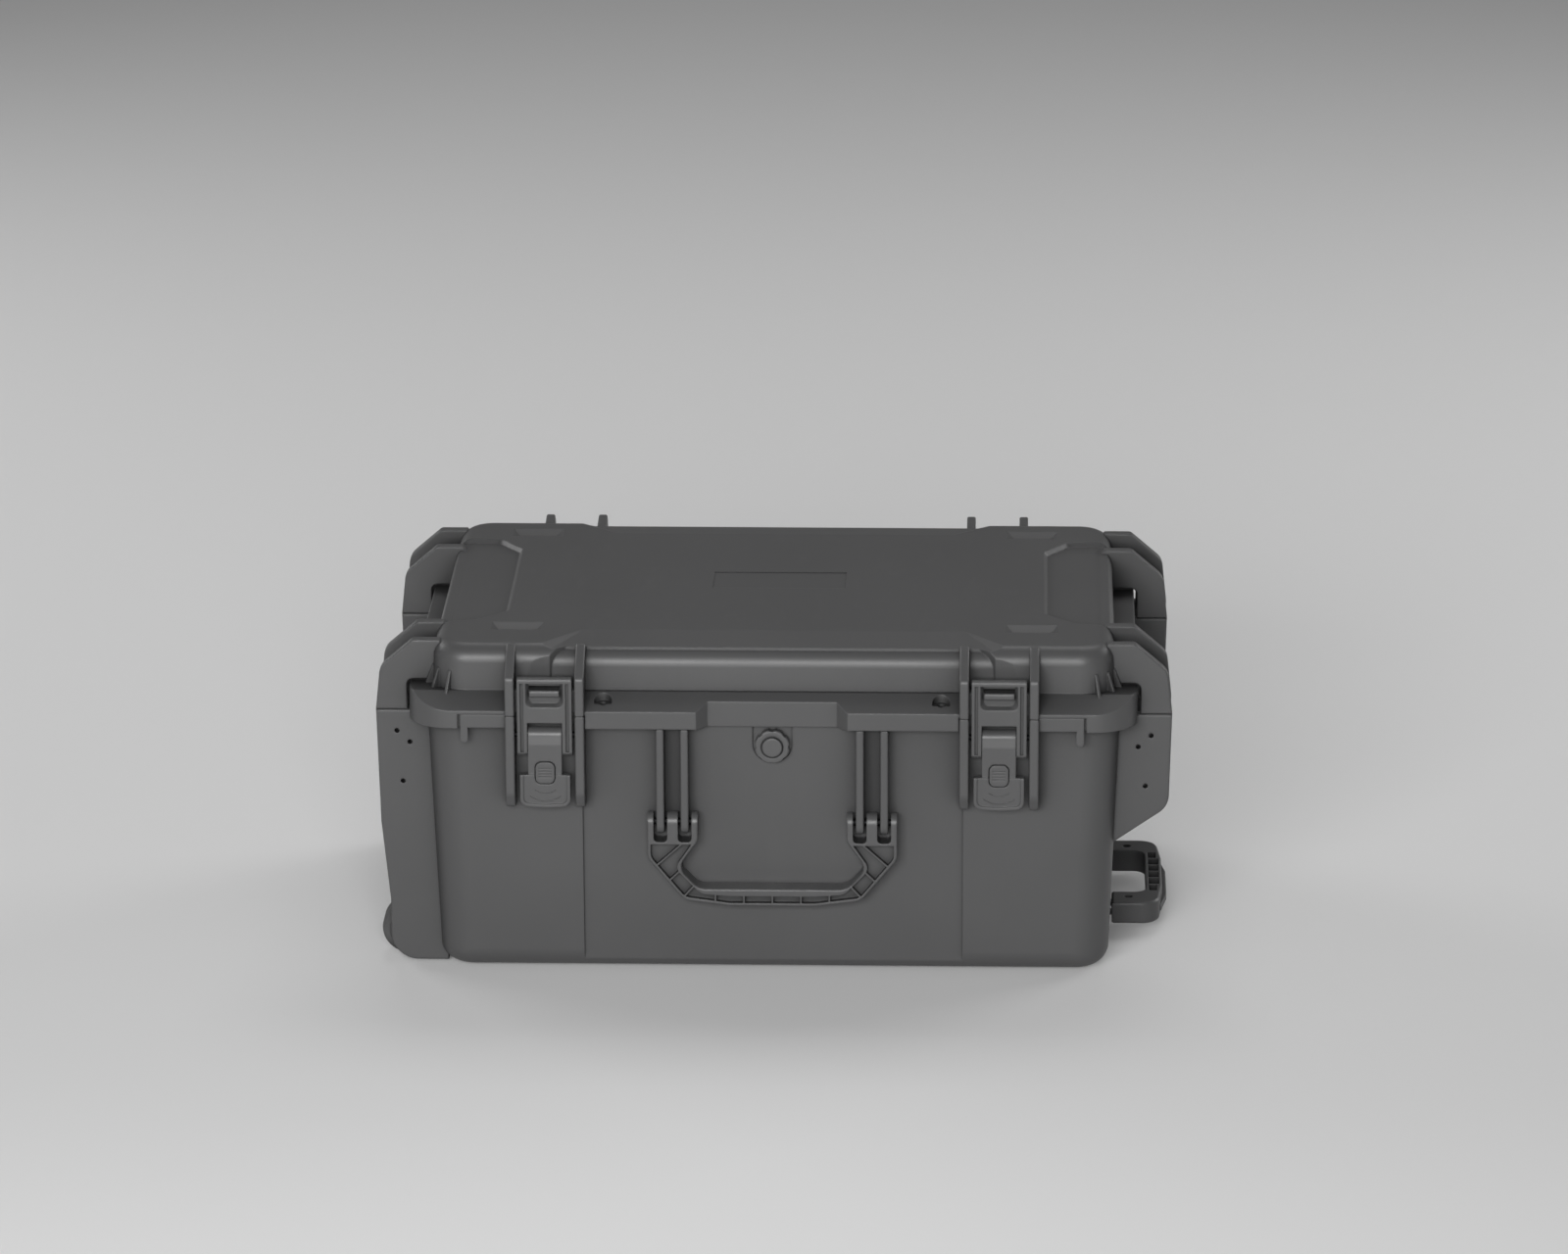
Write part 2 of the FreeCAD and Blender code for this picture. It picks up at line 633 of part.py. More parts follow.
def lid_fins():
    """The plates on both ends of the lid, notched over the flange."""
    inside_x = S.lid_foot_x - S.lid_edge
    outline = [(S.fin_reach, LID_FIN_LOW), (S.fin_shoulder_x, S.fin_shoulder_z, 12.0),
               (S.fin_top_x, S.fin_top, 4.0),
               (S.lid_foot_x - S.lid_edge / 2, S.fin_top), (inside_x, S.core_top - S.lid_wall),
               (inside_x, S.notch_top), (S.notch_x, S.notch_top, 4.0), (S.notch_x, LID_FIN_LOW)]
    plates = []
    for face in (S.fin_outer_y, S.fin_inner_y):
        plates += four(plate("lid_fin", "xz", outline, (-face, S.fin_thick - face), S.fin_bevel))
    return plates


def fin_holes():
    """Small through holes in the outer plates of the base."""
    holes = []
    for inset, drop in ((14.6, 15.7), (23.6, 24.0), (18.3, 53.0)):
        hole = rod("fin_hole", "y", S.fin_reach - inset, S.fin_split - drop,
                   (-S.fin_outer_y - 1.0, -FIN_GAP_OUT + 1.0), S.fin_hole)
        holes += four(hole)
    return holes


def rib_pairs(label, outline, middle, offset, width):
    """Two thin ribs either side of a centre line, on the left and on the right."""
    ribs = []
    for side in (-1.0, 1.0):
        centre = middle + side * offset
        piece = plate(label, "yz", outline, (centre - width / 2, centre + width / 2), S.rib_soft)
        ribs += pair(piece)
    return ribs


def base_latch_ribs():
    front = -S.rib_front
    outline = [(front, BASE_TOP), (front, S.base_rib_low + 12.0, 8.0),
               (front + 5.0, S.base_rib_low + 2.0, 4.0),
               (front + 14.0, S.base_rib_low), (-DEEP_IN, S.base_rib_low), (-DEEP_IN, BASE_TOP)]
    return rib_pairs("base_latch_rib", outline, S.latch_x, S.rib_offset, S.rib_width)


def lid_latch_ribs():
    front = -S.rib_front
    tip = -S.lid_rib_tip
    inside = tip + 2.0 * S.core_inset
    outline = [(front, LID_LOW), (front, S.lid_rib_knee, 4.0), (tip, S.lid_top + 0.6, 1.5),
               (inside, S.lid_top - S.core_inset), (inside, LID_LOW)]
    return rib_pairs("lid_latch_rib", outline, S.latch_x, S.rib_offset, S.rib_width)


def bracket_ribs():
    """Ribs under the skirt that carry the front handle's pins."""
    front = -S.bracket_front
    top = S.skirt_low - S.side_gap
    outline = [(front, top), (front, S.bracket_low, 6.0), (-DEEP_IN, S.bracket_low),
               (-DEEP_IN, S.flange_under + 1.0),
               (-S.base_flange_front, S.flange_under + 1.0), (-S.base_flange_front, top)]
    return rib_pairs("bracket_rib", outline, S.grip_arm_x, S.bracket_offset, S.bracket_width)


def base_hinge_ribs():
    """Ribs at the back that carry the hinge pins, with a round eye at the top."""
    back = S.hinge_y + S.hinge_eye
    outline = [(back, HINGE_Z), (back, S.hinge_rib_low + 12.0, 8.0), (back - 12.0, S.hinge_rib_low),
               (DEEP_IN, S.hinge_rib_low), (DEEP_IN, BASE_TOP), (S.hinge_y, BASE_TOP), (S.hinge_y, HINGE_Z)]
    ribs = rib_pairs("base_hinge_rib", outline, S.hinge_x, S.hinge_base_offset, S.hinge_rib)
    for side in (-1.0, 1.0):
        centre = S.hinge_x + side * S.hinge_base_offset
        eye = rod("base_hinge_eye", "x", S.hinge_y, HINGE_Z,
                  (centre - S.hinge_rib / 2, centre + S.hinge_rib / 2),
                  S.hinge_eye)
        ribs += pair(eye)
    return ribs


def lid_hinge_ribs():
    """Ribs at the lid's back that turn on the hinge pins."""
    back = S.hinge_y + S.hinge_eye
    inside = S.brow_y - S.core_inset
    outline = [(back, HINGE_Z), (back, S.lid_top - 6.0, 4.0), (back - 8.0, S.lid_top),
               (inside, S.lid_top - S.core_inset), (inside, LID_LOW), (S.hinge_y, LID_LOW),
               (S.hinge_y, HINGE_Z)]
    ribs = rib_pairs("lid_hinge_rib", outline, S.hinge_x, S.hinge_lid_offset, S.hinge_rib)
    for side in (-1.0, 1.0):
        centre = S.hinge_x + side * S.hinge_lid_offset
        eye = rod("lid_hinge_eye", "x", S.hinge_y, HINGE_Z, (centre - S.hinge_rib / 2,
                                                             centre + S.hinge_rib / 2),
                  S.hinge_eye)
        ribs += pair(eye)
    return ribs


def hinge_rooms(label, offset):
    """Room round the eyes of the other half of the hinges."""
    rooms = []
    for side in (-1.0, 1.0):
        centre = S.hinge_x + side * offset
        reach = S.hinge_rib / 2 + S.side_gap
        room = rod(label, "x", S.hinge_y, HINGE_Z, (centre - reach, centre + reach),
                   S.hinge_eye + S.hinge_air)
        rooms += pair(room)
    return rooms


def cross_bores(label, middle, reach, y, z, radius):
    """Bores along X through a rib group, on the left and on the right."""
    return pair(rod(label, "x", y, z, (middle - reach, middle + reach), radius))


def wheel_rooms(label, radius, spread):
    """Cylinders round both wheels: the wells outside, or the humps that they make inside."""
    span = (S.fin_inner_y - spread, FIN_GAP_OUT + spread)
    room = rod(label, "y", -S.wheel_x, S.wheel_z, span, radius)
    return pair(room, "y")


def screw_spots():
    """Where the cover's screws are, along the middle of the recess."""
    start = -S.recess_start
    reach = S.recess_start + S.cover_end
    return [start + reach * share for share in (0.16, 0.5, 0.8)]


def base_shell():
    bottom = FLOOR_UNDER
    x0 = S.tub_bottom_x
    x1 = S.tub_top_x
    y0 = S.tub_bottom_y
    y1 = S.tub_top_y
    tub = drafted("tub_block", (bottom, BASE_TOP), (-x0, x0, -y0, y0), (-x1, x1, -y1, y1))
    tub = rounded("tub_upright", tub, (along("z"), S.tub_corner))
    tub = rounded("tub_outside", tub, (level("z", bottom), S.tub_edge))
    flange = slab("base_flange", (-S.base_flange_x, S.base_flange_x), (-S.base_flange_front, S.flange_back),
                  (S.flange_under, BASE_TOP), S.flange_corner)
    bare_start = S.latch_x + S.rib_offset
    bare_end = S.corner_skirt_x - S.hook_gap
    bare = box("bare_flange", (bare_start, bare_end), (-S.bare_flange_front, -y0),
               (S.flange_under, BASE_TOP))
    hook = slab("cord_hook", (bare_end - S.hook_width, bare_end),
                (-S.bare_flange_front, -S.bare_flange_front + 4.0),
                (S.flange_under - S.hook_drop, S.flange_under + 1.0), S.hook_corner, "y")
    feet = []
    for y in (-S.foot_front_y, S.foot_back_y):
        foot = slab("foot", (S.foot_x - S.foot_length / 2, S.foot_x + S.foot_length / 2),
                    (y - S.foot_width / 2, y + S.foot_width / 2), (0.0, bottom + 1.0), 5.0)
        feet += pair(foot)
    solids = [tub, flange] + pair(bare) + pair(hook) + feet
    solids += base_fins() + base_latch_ribs() + bracket_ribs() + base_hinge_ribs()
    whole = fuse("base_solid", solids)

    # The inside, which stays clear of the wheel wells and of the recess for the pull-out handle
    inner = S.wall
    cavity = drafted("tub_inside", (bottom + S.wall, S.parting + 1.0),
                     (inner - x0, x0 - inner, inner - y0, y0 - inner),
                     (inner - x1, x1 - inner, inner - y1, y1 - inner))
    cavity = rounded("tub_inside_upright", cavity, (along("z"), S.tub_corner - S.wall))
    cavity = rounded("tub_inside_round", cavity, (level("z", bottom + S.wall), S.tub_edge - S.wall))
    hump = slab("recess_hump", (-S.recess_start - S.wall, x1),
                (-S.recess_half - S.wall, S.recess_half + S.wall),
                (bottom, S.recess_top + S.wall), S.wall, "x")
    humps = wheel_rooms("well_hump", WELL_RADIUS + S.wall, S.wall)
    hollow = cut("base_inside", cavity, [hump] + humps)

    panel = front_panel()
    bay = plate("flange_bay", "xy",
                [(-S.bay_x - S.bay_slant - 13.0, -S.rib_front),
                 (-S.bay_x - 3.0, -front_wall(S.parting) - 0.01),
                 (S.bay_x + 3.0, -front_wall(S.parting) - 0.01),
                 (S.bay_x + S.bay_slant + 13.0, -S.rib_front)],
                (S.flange_under - 0.5, S.parting + 1.0))
    recess = slab("handle_recess", (-S.recess_start, S.fin_reach), (-S.recess_half, S.recess_half),
                  (0.0, S.recess_top), 3.0, "x")
    wells = wheel_rooms("wheel_well", WELL_RADIUS, size(0.0))
    axle_bores = []
    for face in (S.fin_inner_y - S.axle_depth, FIN_GAP_OUT):
        bore = rod("axle_bore", "y", -S.wheel_x, S.wheel_z, (face, face + S.axle_depth),
                   S.axle_radius + S.seat)
        axle_bores += pair(bore, "y")
    valve_bore = rod("valve_bore", "y", size(0.0), S.valve_z, (-S.rib_front, -DEEP_IN),
                     S.valve_shank + S.seat)
    padlocks = pair(rod("padlock_bore", "z", S.padlock_x, -S.padlock_y,
                        (S.flange_under - 1.0, S.parting + 1.0),
                        S.padlock_radius))
    lever_bores = cross_bores("lever_bore", S.latch_x, S.rib_offset + S.rib_width / 2 - 1.5,
                              -S.lever_pivot_y, S.lever_pivot_z, S.lever_pin + S.seat)
    handle_bores = cross_bores("handle_bore", S.grip_arm_x, S.grip_arm_half, -S.grip_pivot_y,
                               S.grip_pivot_z,
                               S.grip_pin + S.seat)
    hinge_bores = cross_bores("hinge_bore", S.hinge_x, S.hinge_lid_offset, S.hinge_y, HINGE_Z,
                              S.hinge_pin + S.seat)
    between = S.rib_offset - S.rib_width / 2
    latch_rooms = pair(box("base_latch_room", (S.latch_x - between, S.latch_x + between),
                           (-S.rib_front, -S.tub_top_y - 1.0), (S.flange_under - 1.0, S.parting + 1.0)))
    tools = [hollow, panel, valve_pocket(), bay, recess, valve_bore] + latch_rooms
    tools += wells + axle_bores + padlocks + lever_bores + handle_bores + hinge_bores + fin_holes()
    tools += hinge_rooms("lid_eye_room", S.hinge_lid_offset)
    shell = cut("base_hollow", whole, tools)

    # Bosses in the recess that take the cover's screws
    bosses = []
    bores = []
    for x in screw_spots():
        bosses.append(rod("cover_boss", "z", x, size(0.0), (COVER_TOP, S.recess_top + 1.0), S.boss_radius))
        bores.append(rod("cover_bore", "z", x, size(0.0), (0.0, S.recess_top), S.screw_radius + S.seat))
    keep("base_shell", cut("base_bored", fuse("base_bossed", [shell] + bosses), bores))


def front_panel():
    """The middle of the tub's front is sunk between the latches."""
    step = S.panel_step
    low = FLOOR_UNDER - 1.0
    outline = [(-S.rib_front, low), (step - front_wall(low), low),
               (step - front_wall(S.flange_under), S.flange_under), (-S.rib_front, S.flange_under)]
    slot = plate("panel_cut", "yz", outline, (-S.panel_x, S.panel_x))
    guards = []
    for side in (-1.0, 1.0):
        centre = S.grip_arm_x + side * S.bracket_offset
        guard = box("bracket_guard", (centre - S.bracket_width / 2, centre + S.bracket_width / 2),
                    (-S.rib_front - 1.0, -DEEP_IN), (S.bracket_low, S.parting))
        guards += pair(guard)
    for side in (-1.0, 1.0):
        centre = S.latch_x + side * S.rib_offset
        guard = box("latch_guard", (centre - S.rib_width / 2, centre + S.rib_width / 2),
                    (-S.rib_front - 1.0, -DEEP_IN), (S.base_rib_low, S.parting))
        guards += pair(guard)
    return cut("panel_step", slot, guards)


def valve_pocket():
    """A shallow U under the skirt, round the valve."""
    deep = front_wall(S.valve_z) - S.panel_step - S.valve_pocket
    half = S.valve_pocket_half
    upper = box("valve_pocket_upper", (-half, half), (-S.rib_front, -deep),
                (S.valve_z, S.flange_under + 1.0))
    lower = rod("valve_pocket_lower", "y", size(0.0), S.valve_z, (-S.rib_front, -deep), half)
    return fuse("valve_pocket", [upper, lower])


def lid_shell():
    x0 = S.lid_foot_x
    y0 = S.lid_foot_y
    lean = S.lid_draft
    skin = cut("lid_skin_sunk", lid_form("lid_skin", size(0.0), S.lid_top), lid_recesses())
    core = lid_form("lid_core", S.core_inset, S.core_top)
    flange_x = S.lid_flange_x
    front = -S.lid_flange_front
    rim = slab("lid_rim", (-flange_x, flange_x), (front, S.flange_back), (LID_LOW, S.roof_high),
               S.lid_flange_corner)
    rim = rounded("lid_rim_soft", rim, (level("z", S.roof_high), 1.2))
    slopes = []
    for facing, edge in ((-1.0, S.lid_flange_front), (1.0, S.flange_back)):
        over = edge + 4.0
        drop = (S.roof_high - S.roof_low) / (edge - y0)
        outline = [(facing * y0, S.roof_high), (facing * over, S.roof_low - drop * 4.0),
                   (facing * over, S.roof_high + 2.0), (facing * y0, S.roof_high + 2.0)]
        slopes.append(plate("roof_slope", "yz", outline, (-flange_x - 1.0, flange_x + 1.0)))
    solids = [skin, core, cut("roof", rim, slopes)] + lid_skirts()
    whole = fuse("lid_outer", solids)
    bay = plate("lid_bay", "xy",
                [(-S.bay_x - S.bay_slant, front - 1.0), (-S.bay_x, front + S.bay_depth),
                 (S.bay_x, front + S.bay_depth), (S.bay_x + S.bay_slant, front - 1.0)],
                (S.skirt_low - 1.0, S.roof_high))
    whole = cut("lid_bayed", whole, [bay])
    catch_half = S.rib_offset - S.rib_width / 2 + 0.5
    catch = slab("latch_catch", (S.latch_x - catch_half, S.latch_x + catch_half),
                 (S.side_gap - S.claw_head_back, S.core_inset + 2.0 - y0),
                 (S.roof_low + 3.0, S.roof_high + 4.0), 2.0, "x")
    latch_room = box("latch_room", (S.latch_x - catch_half, S.latch_x + catch_half),
                     (front - 2.0, S.side_gap - S.claw_head_back), (S.skirt_low - 1.0, S.roof_high))
    whole = cut("lid_notched", whole, pair(latch_room))
    solids = [whole] + pair(catch) + lid_fins() + lid_latch_ribs() + lid_hinge_ribs() + gussets()
    whole = fuse("lid_solid", solids)

    wall = S.lid_wall
    cavity = drafted("lid_inside", (S.parting - 1.0, S.lid_ceiling),
                     (wall - x0, x0 - wall, wall - y0, y0 - wall),
                     (wall + lean - x0, x0 - lean - wall, wall + lean - y0, y0 - lean - wall))
    cavity = rounded("lid_inside_upright", cavity, (along("z"), S.lid_corner - wall))
    cavity = rounded("lid_inside_round", cavity, (level("z", S.lid_ceiling), S.lid_edge - wall))
    padlocks = pair(rod("lid_padlock", "z", S.padlock_x, -S.padlock_y, (S.skirt_low - 1.0, S.roof_high),
                        S.padlock_radius))
    padlocks += pair(rod("padlock_flat", "z", S.padlock_x, -S.padlock_y,
                         (S.roof_low + S.padlock_rise, S.roof_high + 4.0),
                         S.padlock_spot))
    hinge_bores = cross_bores("lid_hinge_bore", S.hinge_x, S.hinge_lid_offset + S.hinge_rib / 2 - 1.5,
                              S.hinge_y, HINGE_Z, S.hinge_pin + S.running)
    tools = [cavity, seal_ring("seal_groove", S.seat)] + padlocks + hinge_bores
    tools += hinge_rooms("base_eye_room", S.hinge_base_offset) + lid_pockets()
    keep("lid_shell", cut("lid_hollow", whole, tools))


def lid_form(label, inset, top):
    """The lid's rounded outer form, or with an inset the form that its sunk parts lie on."""
    x = S.lid_foot_x - inset
    y = S.lid_foot_y - inset
    lean = S.lid_draft
    form = drafted(label + "_block", (LID_LOW, top), (-x, x, -y, y),
                   (lean - x, x - lean, lean - y, y - lean))
    form = rounded(label + "_upright", form, (along("z"), S.lid_corner - inset))
    return rounded(label, form, (level("z", top), S.lid_edge))


def lid_skirts():
    """Skirts that hang over the base flange at the front and round the front corners."""
    front = -S.lid_flange_front
    wall = S.skirt_wall
    span = (S.skirt_low, S.roof_low)
    side = slab("front_skirt", (S.bay_x, S.skirt_end_x), (front, front + wall), span, 0.8, "x")
    middle_front = front + S.bay_depth
    middle = box("middle_skirt", (-S.bay_x - S.bay_slant, S.bay_x + S.bay_slant),
                 (front, middle_front + wall), span)
    inside = plate("middle_skirt_room", "xy",
                   [(-S.bay_x - S.bay_slant - 3.0, front + wall), (-S.bay_x - 1.5, middle_front + wall),
                    (-S.bay_x - S.bay_slant - 3.0, middle_front + wall)],
                   (S.skirt_low - 1.0, LID_LOW))
    middle = cut("middle_skirt_hollow", middle, pair(inside))
    outer = slab("corner_skirt_outer", (-S.lid_flange_x, S.lid_flange_x), (front, S.flange_back), span,
                 S.lid_flange_corner)
    inner = slab("corner_skirt_inner", (wall - S.lid_flange_x, S.lid_flange_x - wall),
                 (front + wall, S.flange_back - wall), (S.skirt_low - 1.0, S.roof_low + 1.0),
                 S.lid_flange_corner - wall)
    ring = cut("corner_skirt_ring", outer, [inner])
    window = box("corner_skirt_window", (S.corner_skirt_x, S.lid_flange_x + 1.0),
                 (front - 1.0, -S.corner_skirt_y),
                 (S.skirt_low - 1.0, S.roof_low + 1.0))
    corner = common("corner_skirt", [ring, window])
    return pair(side) + [middle] + pair(corner)


def gussets():
    """Three thin webs between wall and roof at each front corner."""
    centre_x = S.lid_foot_x - S.lid_corner
    centre_y = S.lid_foot_y - S.lid_corner
    reach = S.lid_corner
    pieces = []
    for turn in GUSSET_TURNS:
        outline = [(reach - 4.0, S.roof_low + 1.0), (reach + 8.5, S.roof_low + 1.0),
                   (reach - 0.5, S.roof_high + 13.5), (reach - 4.0, S.roof_high + 13.5)]
        web = plate("gusset", "xz", outline, (-S.gusset / 2, S.gusset / 2))
        copy = DOC.addObject("Part::Compound", "gusset_turned")
        copy.Links = [web]
        copy.Placement = Placement(Vector(), Rotation(Vector(0, 0, 1), turn))
        place(copy, centre_x, -centre_y, size(0.0))
        pieces += pair(copy)
    return pieces


def seal_ring(label, air):
    """The ring that the seal fills, or with some air the groove for it."""
    half = S.seal_width / 2 + air
    x_out = S.seal_x + half
    y_out = S.seal_y + half
    x_in = S.seal_x - half
    y_in = S.seal_y - half
    low = LID_LOW if air is not S.seat else LID_LOW - 1.0
    high = LID_LOW + S.seal_height + air
    outer = slab(label + "_outer", (-x_out, x_out), (-y_out, y_out), (low, high), S.seal_corner + half)
    inner = slab(label + "_inner", (-x_in, x_in), (-y_in, y_in), (low - 1.0, high + 1.0),
                 S.seal_corner - half)
    return cut(label, outer, [inner])


def sloped(label, z, low, high):
    """A block between two outlines at two heights. A lower corner's third number rounds its slanting edge."""
    sketches = []
    for mark, height, corners in (("_low", z[0], low), ("_high", z[1], high)):
        sketch = DOC.addObject("Sketcher::SketchObject", label + mark)
        bind(sketch, "Placement.Base.z", height)
        outline_sketch(sketch, corners)
        sketches.append(sketch)
    piece = DOC.addObject("Part::Loft", label + "_ruled")
    piece.Sections = sketches
    piece.Solid = True
    piece.Ruled = True
    picks = [(rising_edge(corner, z[0]), corner[2]) for corner in low if len(corner) == 3]
    return rounded(label, piece, *picks) if picks else piece


def rising_edge(corner, height):
    """Picks the edge that rises from one corner of a lower outline."""
    foot = Vector(size(corner[0]).value, size(corner[1]).value, size(height).value)

    def rule(edge):
        rises = edge.BoundBox.ZLength > 0.01
        return rises and any(vertex.Point.distanceToPoint(foot) < 0.01 for vertex in edge.Vertexes)
    return rule


def lid_recesses():
    """What is sunk into the lid's outer form: the front and back below the brows, the ramps and the sides."""
    tools = []
    half = [(S.brow_x - BROW_START, -S.brow_y, 3.0)]
    half += [(S.brow_x + step, -S.brow_y - reach) for step, reach in BROW_STEPS]
    brow = plate("brow_cut", "xy", half + flip(half), (LID_LOW - 1.0, S.lid_top + 2.0))
    tools += pair(brow, "y")
    for facing, start, edge_x in ((-1.0, S.ramp_front_y, S.ramp_front_x),
                                  (1.0, S.ramp_back_y, S.ramp_back_x)):
        tools.append(lid_ramp(facing, start, edge_x))
    x = S.side_recess_x
    far_x = S.lid_foot_x + 10.0
    front = -S.side_recess_front
    back = S.side_recess_back
    low = [(x + 3.3, front + 1.5, 8.0), (x + 24.3, front - 20.0, 10.0), (far_x, front - 27.0),
           (far_x, back + 24.0),
           (x + 19.0, back + 20.6, 8.0), (x + 3.3, back - 1.7, 6.0)]
    high = [(x - 0.8, front), (x + 21.2, front - 23.3), (far_x, front - 30.3), (far_x, back + 27.8),
            (x + 17.0, back + 24.3), (x - 0.8, back)]
    tools += pair(sloped("side_recess", (S.core_top - 1.0, S.lid_top + 1.0), low, high))
    return tools


def lid_ramp(facing, start, start_x):
    """A shallow ramp to the lid's front or back edge, between slanting sides that spread towards the edge."""
    run = S.brow_y - start
    below = 2.0 * S.ramp_drop
    above = S.ramp_drop
    outlines = []
    for side in (-RAMP_LEAN * below, RAMP_LEAN * (above + S.ramp_drop)):
        near = start_x + side
        half = [(near, facing * start), (near + RAMP_SPREAD, facing * (start + run)),
                (near + RAMP_SPREAD * 2.0, facing * (start + run * 2.0))]
        outlines.append(half + flip(half))
    sides = sloped("ramp_sides", (S.lid_top - below, S.lid_top + above), *outlines)
    far = start + run * 2.0
    fall = plate("ramp_fall", "yz", [(facing * start, S.lid_top), (facing * far,
                                                                   S.lid_top - S.ramp_drop * 2.0),
                                     (facing * far, S.lid_top + above),
                                     (facing * start, S.lid_top + above)],
                 (-S.fin_reach, S.fin_reach))
    return common("lid_ramp", [sides, fall])


def lid_pockets():
    """The stacking pockets and the bare plate recess in the lid's top."""
    tools = []
    top = S.lid_top
    deep = S.pocket_depth
    half = S.foot_length / 2
    slant = half - POCKET_FLOOR_HALF
    for flush, steep in ((-S.foot_front_y + 7.5, -S.foot_front_y - 10.8),
                         (S.foot_back_y + 9.6, S.foot_back_y - 9.6)):
        fall = plate("pocket_fall", "yz", [(flush, top), (steep, top - deep), (steep, top + deep), (flush,
                                                                                                    top + deep)],
                     (S.foot_x - half, S.foot_x + half))
        ends = plate("pocket_ends", "xz",
                     [(S.foot_x - half + slant, top - deep), (S.foot_x + half - slant, top - deep),
                      (S.foot_x + half + slant, top + deep), (S.foot_x - half - slant, top + deep)],
                     (-S.rib_front, S.rib_front))
        tools += pair(common("stack_pocket", [fall, ends]))
    half_x = S.plate_recess_x / 2
    half_y = S.plate_recess_y / 2
    tools.append(box("plate_recess", (-half_x, half_x),
                     (S.plate_recess_middle - half_y, S.plate_recess_middle + half_y),
                     (top - S.plate_recess_depth, top + deep)))
    return tools


def seal():
    keep("lid_seal", seal_ring("lid_seal", size(0.0)))


def latch(side, name):
    """One latch: lever, claw, button and the two pins. side is -1 on the left and 1 on the right."""
    middle = side * S.latch_x
    pivot = (-S.lever_pivot_y, S.lever_pivot_z)
    claw_pivot = (-S.claw_pivot_y, S.claw_pivot_z)

    # Lever: a tongue with a round head, and a wide paddle to pull
    tongue_x = (middle - S.tongue_half, middle + S.tongue_half)
    front = -S.tongue_front
    back = -S.tongue_back
    tongue = plate("tongue", "yz",
                   [(pivot[0] - S.lever_head, pivot[1]), (front, pivot[1] - 6.0),
                    (front, S.paddle_top - 3.0),
                    (back, S.paddle_top - 3.0), (back, pivot[1] - 8.0),
                    (pivot[0] + S.lever_head * 0.7, pivot[1] - 4.0)],
                   tongue_x)
    head = rod("lever_head", "x", pivot[0], pivot[1], tongue_x, S.lever_head)
    boss = rod("lever_boss", "x", claw_pivot[0], claw_pivot[1], tongue_x, S.claw_boss)
    paddle_x = (middle - S.paddle_half, middle + S.paddle_half)
    rim = S.paddle_rim
    low = S.paddle_low
    swept = [(paddle_x[1], low + PADDLE_RISE, PADDLE_CORNER), (middle, low, PADDLE_SWEEP),
             (paddle_x[0], low + PADDLE_RISE, PADDLE_CORNER)]
    paddle = plate("paddle_block", "xz", [(paddle_x[0], S.paddle_top), (paddle_x[1], S.paddle_top)] + swept,
                   (-S.paddle_front, -S.paddle_back))
    paddle = rounded("paddle", paddle, (level("y", -S.paddle_front), 0.7))
    inner = [(paddle_x[1] - rim, low + rim + PADDLE_RISE, DISH_CORNER), (middle, low + rim, PADDLE_SWEEP),
             (paddle_x[0] + rim, low + rim + PADDLE_RISE, DISH_CORNER)]
    dish = plate("paddle_dish", "xz", [(paddle_x[0] + rim, S.paddle_top + 8.0),
                                       (paddle_x[1] - rim, S.paddle_top + 8.0)] + inner,
                 (-S.paddle_front - 1.0, S.paddle_dish - S.paddle_front))
    gap = S.button_gap
    button_x = (middle - S.button_half, middle + S.button_half)
    opening = slab("button_opening", (button_x[0] - gap, button_x[1] + gap),
                   (-S.rib_front, -S.rib_front + 12.0),
                   (S.button_low - gap, S.button_top + gap), S.button_corner + gap, "y")
    bore = rod("lever_pin_bore", "x", pivot[0], pivot[1], (tongue_x[0] - 1.0, tongue_x[1] + 1.0),
               S.lever_pin + S.running)
    claw_bore = rod("claw_pin_seat", "x", claw_pivot[0], claw_pivot[1],
                    (tongue_x[0] - 1.0, tongue_x[1] + 1.0),
                    S.claw_pin + S.seat)
    lever = fuse("lever_solid", [tongue, head, boss, cut("paddle_dished", paddle, [dish])])
    keep("latch_lever_" + name, cut("lever", lever, [opening, bore, claw_bore]))

    # Claw: a head that covers the lid's catch, and two arms beside the tongue
    head_x = (middle - S.claw_half, middle + S.claw_half)
    claw_front = -S.claw_front
    block = box("claw_head", head_x, (claw_front, -S.claw_head_back), (S.claw_mouth, S.claw_top))
    block = rounded("claw_head_soft", block, (both_rules(along("x"), touches("z", S.claw_top)), 1.6))
    solids = [block]
    arm_in = S.tongue_half + S.side_gap
    for way in (-1.0, 1.0):
        near = middle + way * arm_in
        far = middle + way * S.claw_half
        span = (near, far) if way > 0 else (far, near)
        arm = plate("claw_arm", "yz",
                    [(claw_front, S.claw_mouth + 1.0), (claw_front, claw_pivot[1] - 1.0, 2.0),
                     (claw_pivot[0], claw_pivot[1] - S.claw_boss),
                     (-S.claw_arm_back, claw_pivot[1] + S.claw_boss),
                     (-S.claw_arm_back, S.claw_mouth + 1.0)], span)
        eye = rod("claw_eye", "x", claw_pivot[0], claw_pivot[1], span, S.claw_boss)
        solids += [arm, eye]
    claw_tools = claw_cuts(middle, claw_front)
    claw_tools.append(rod("claw_bore", "x", claw_pivot[0], claw_pivot[1],
                          (head_x[0] - 1.0, head_x[1] + 1.0),
                          S.claw_pin + S.running))
    hollow = cut("claw_hollow", fuse("claw_solid", solids), claw_tools)
    keep("latch_claw_" + name, fuse("claw", [hollow, claw_ledge(middle, claw_front)]))

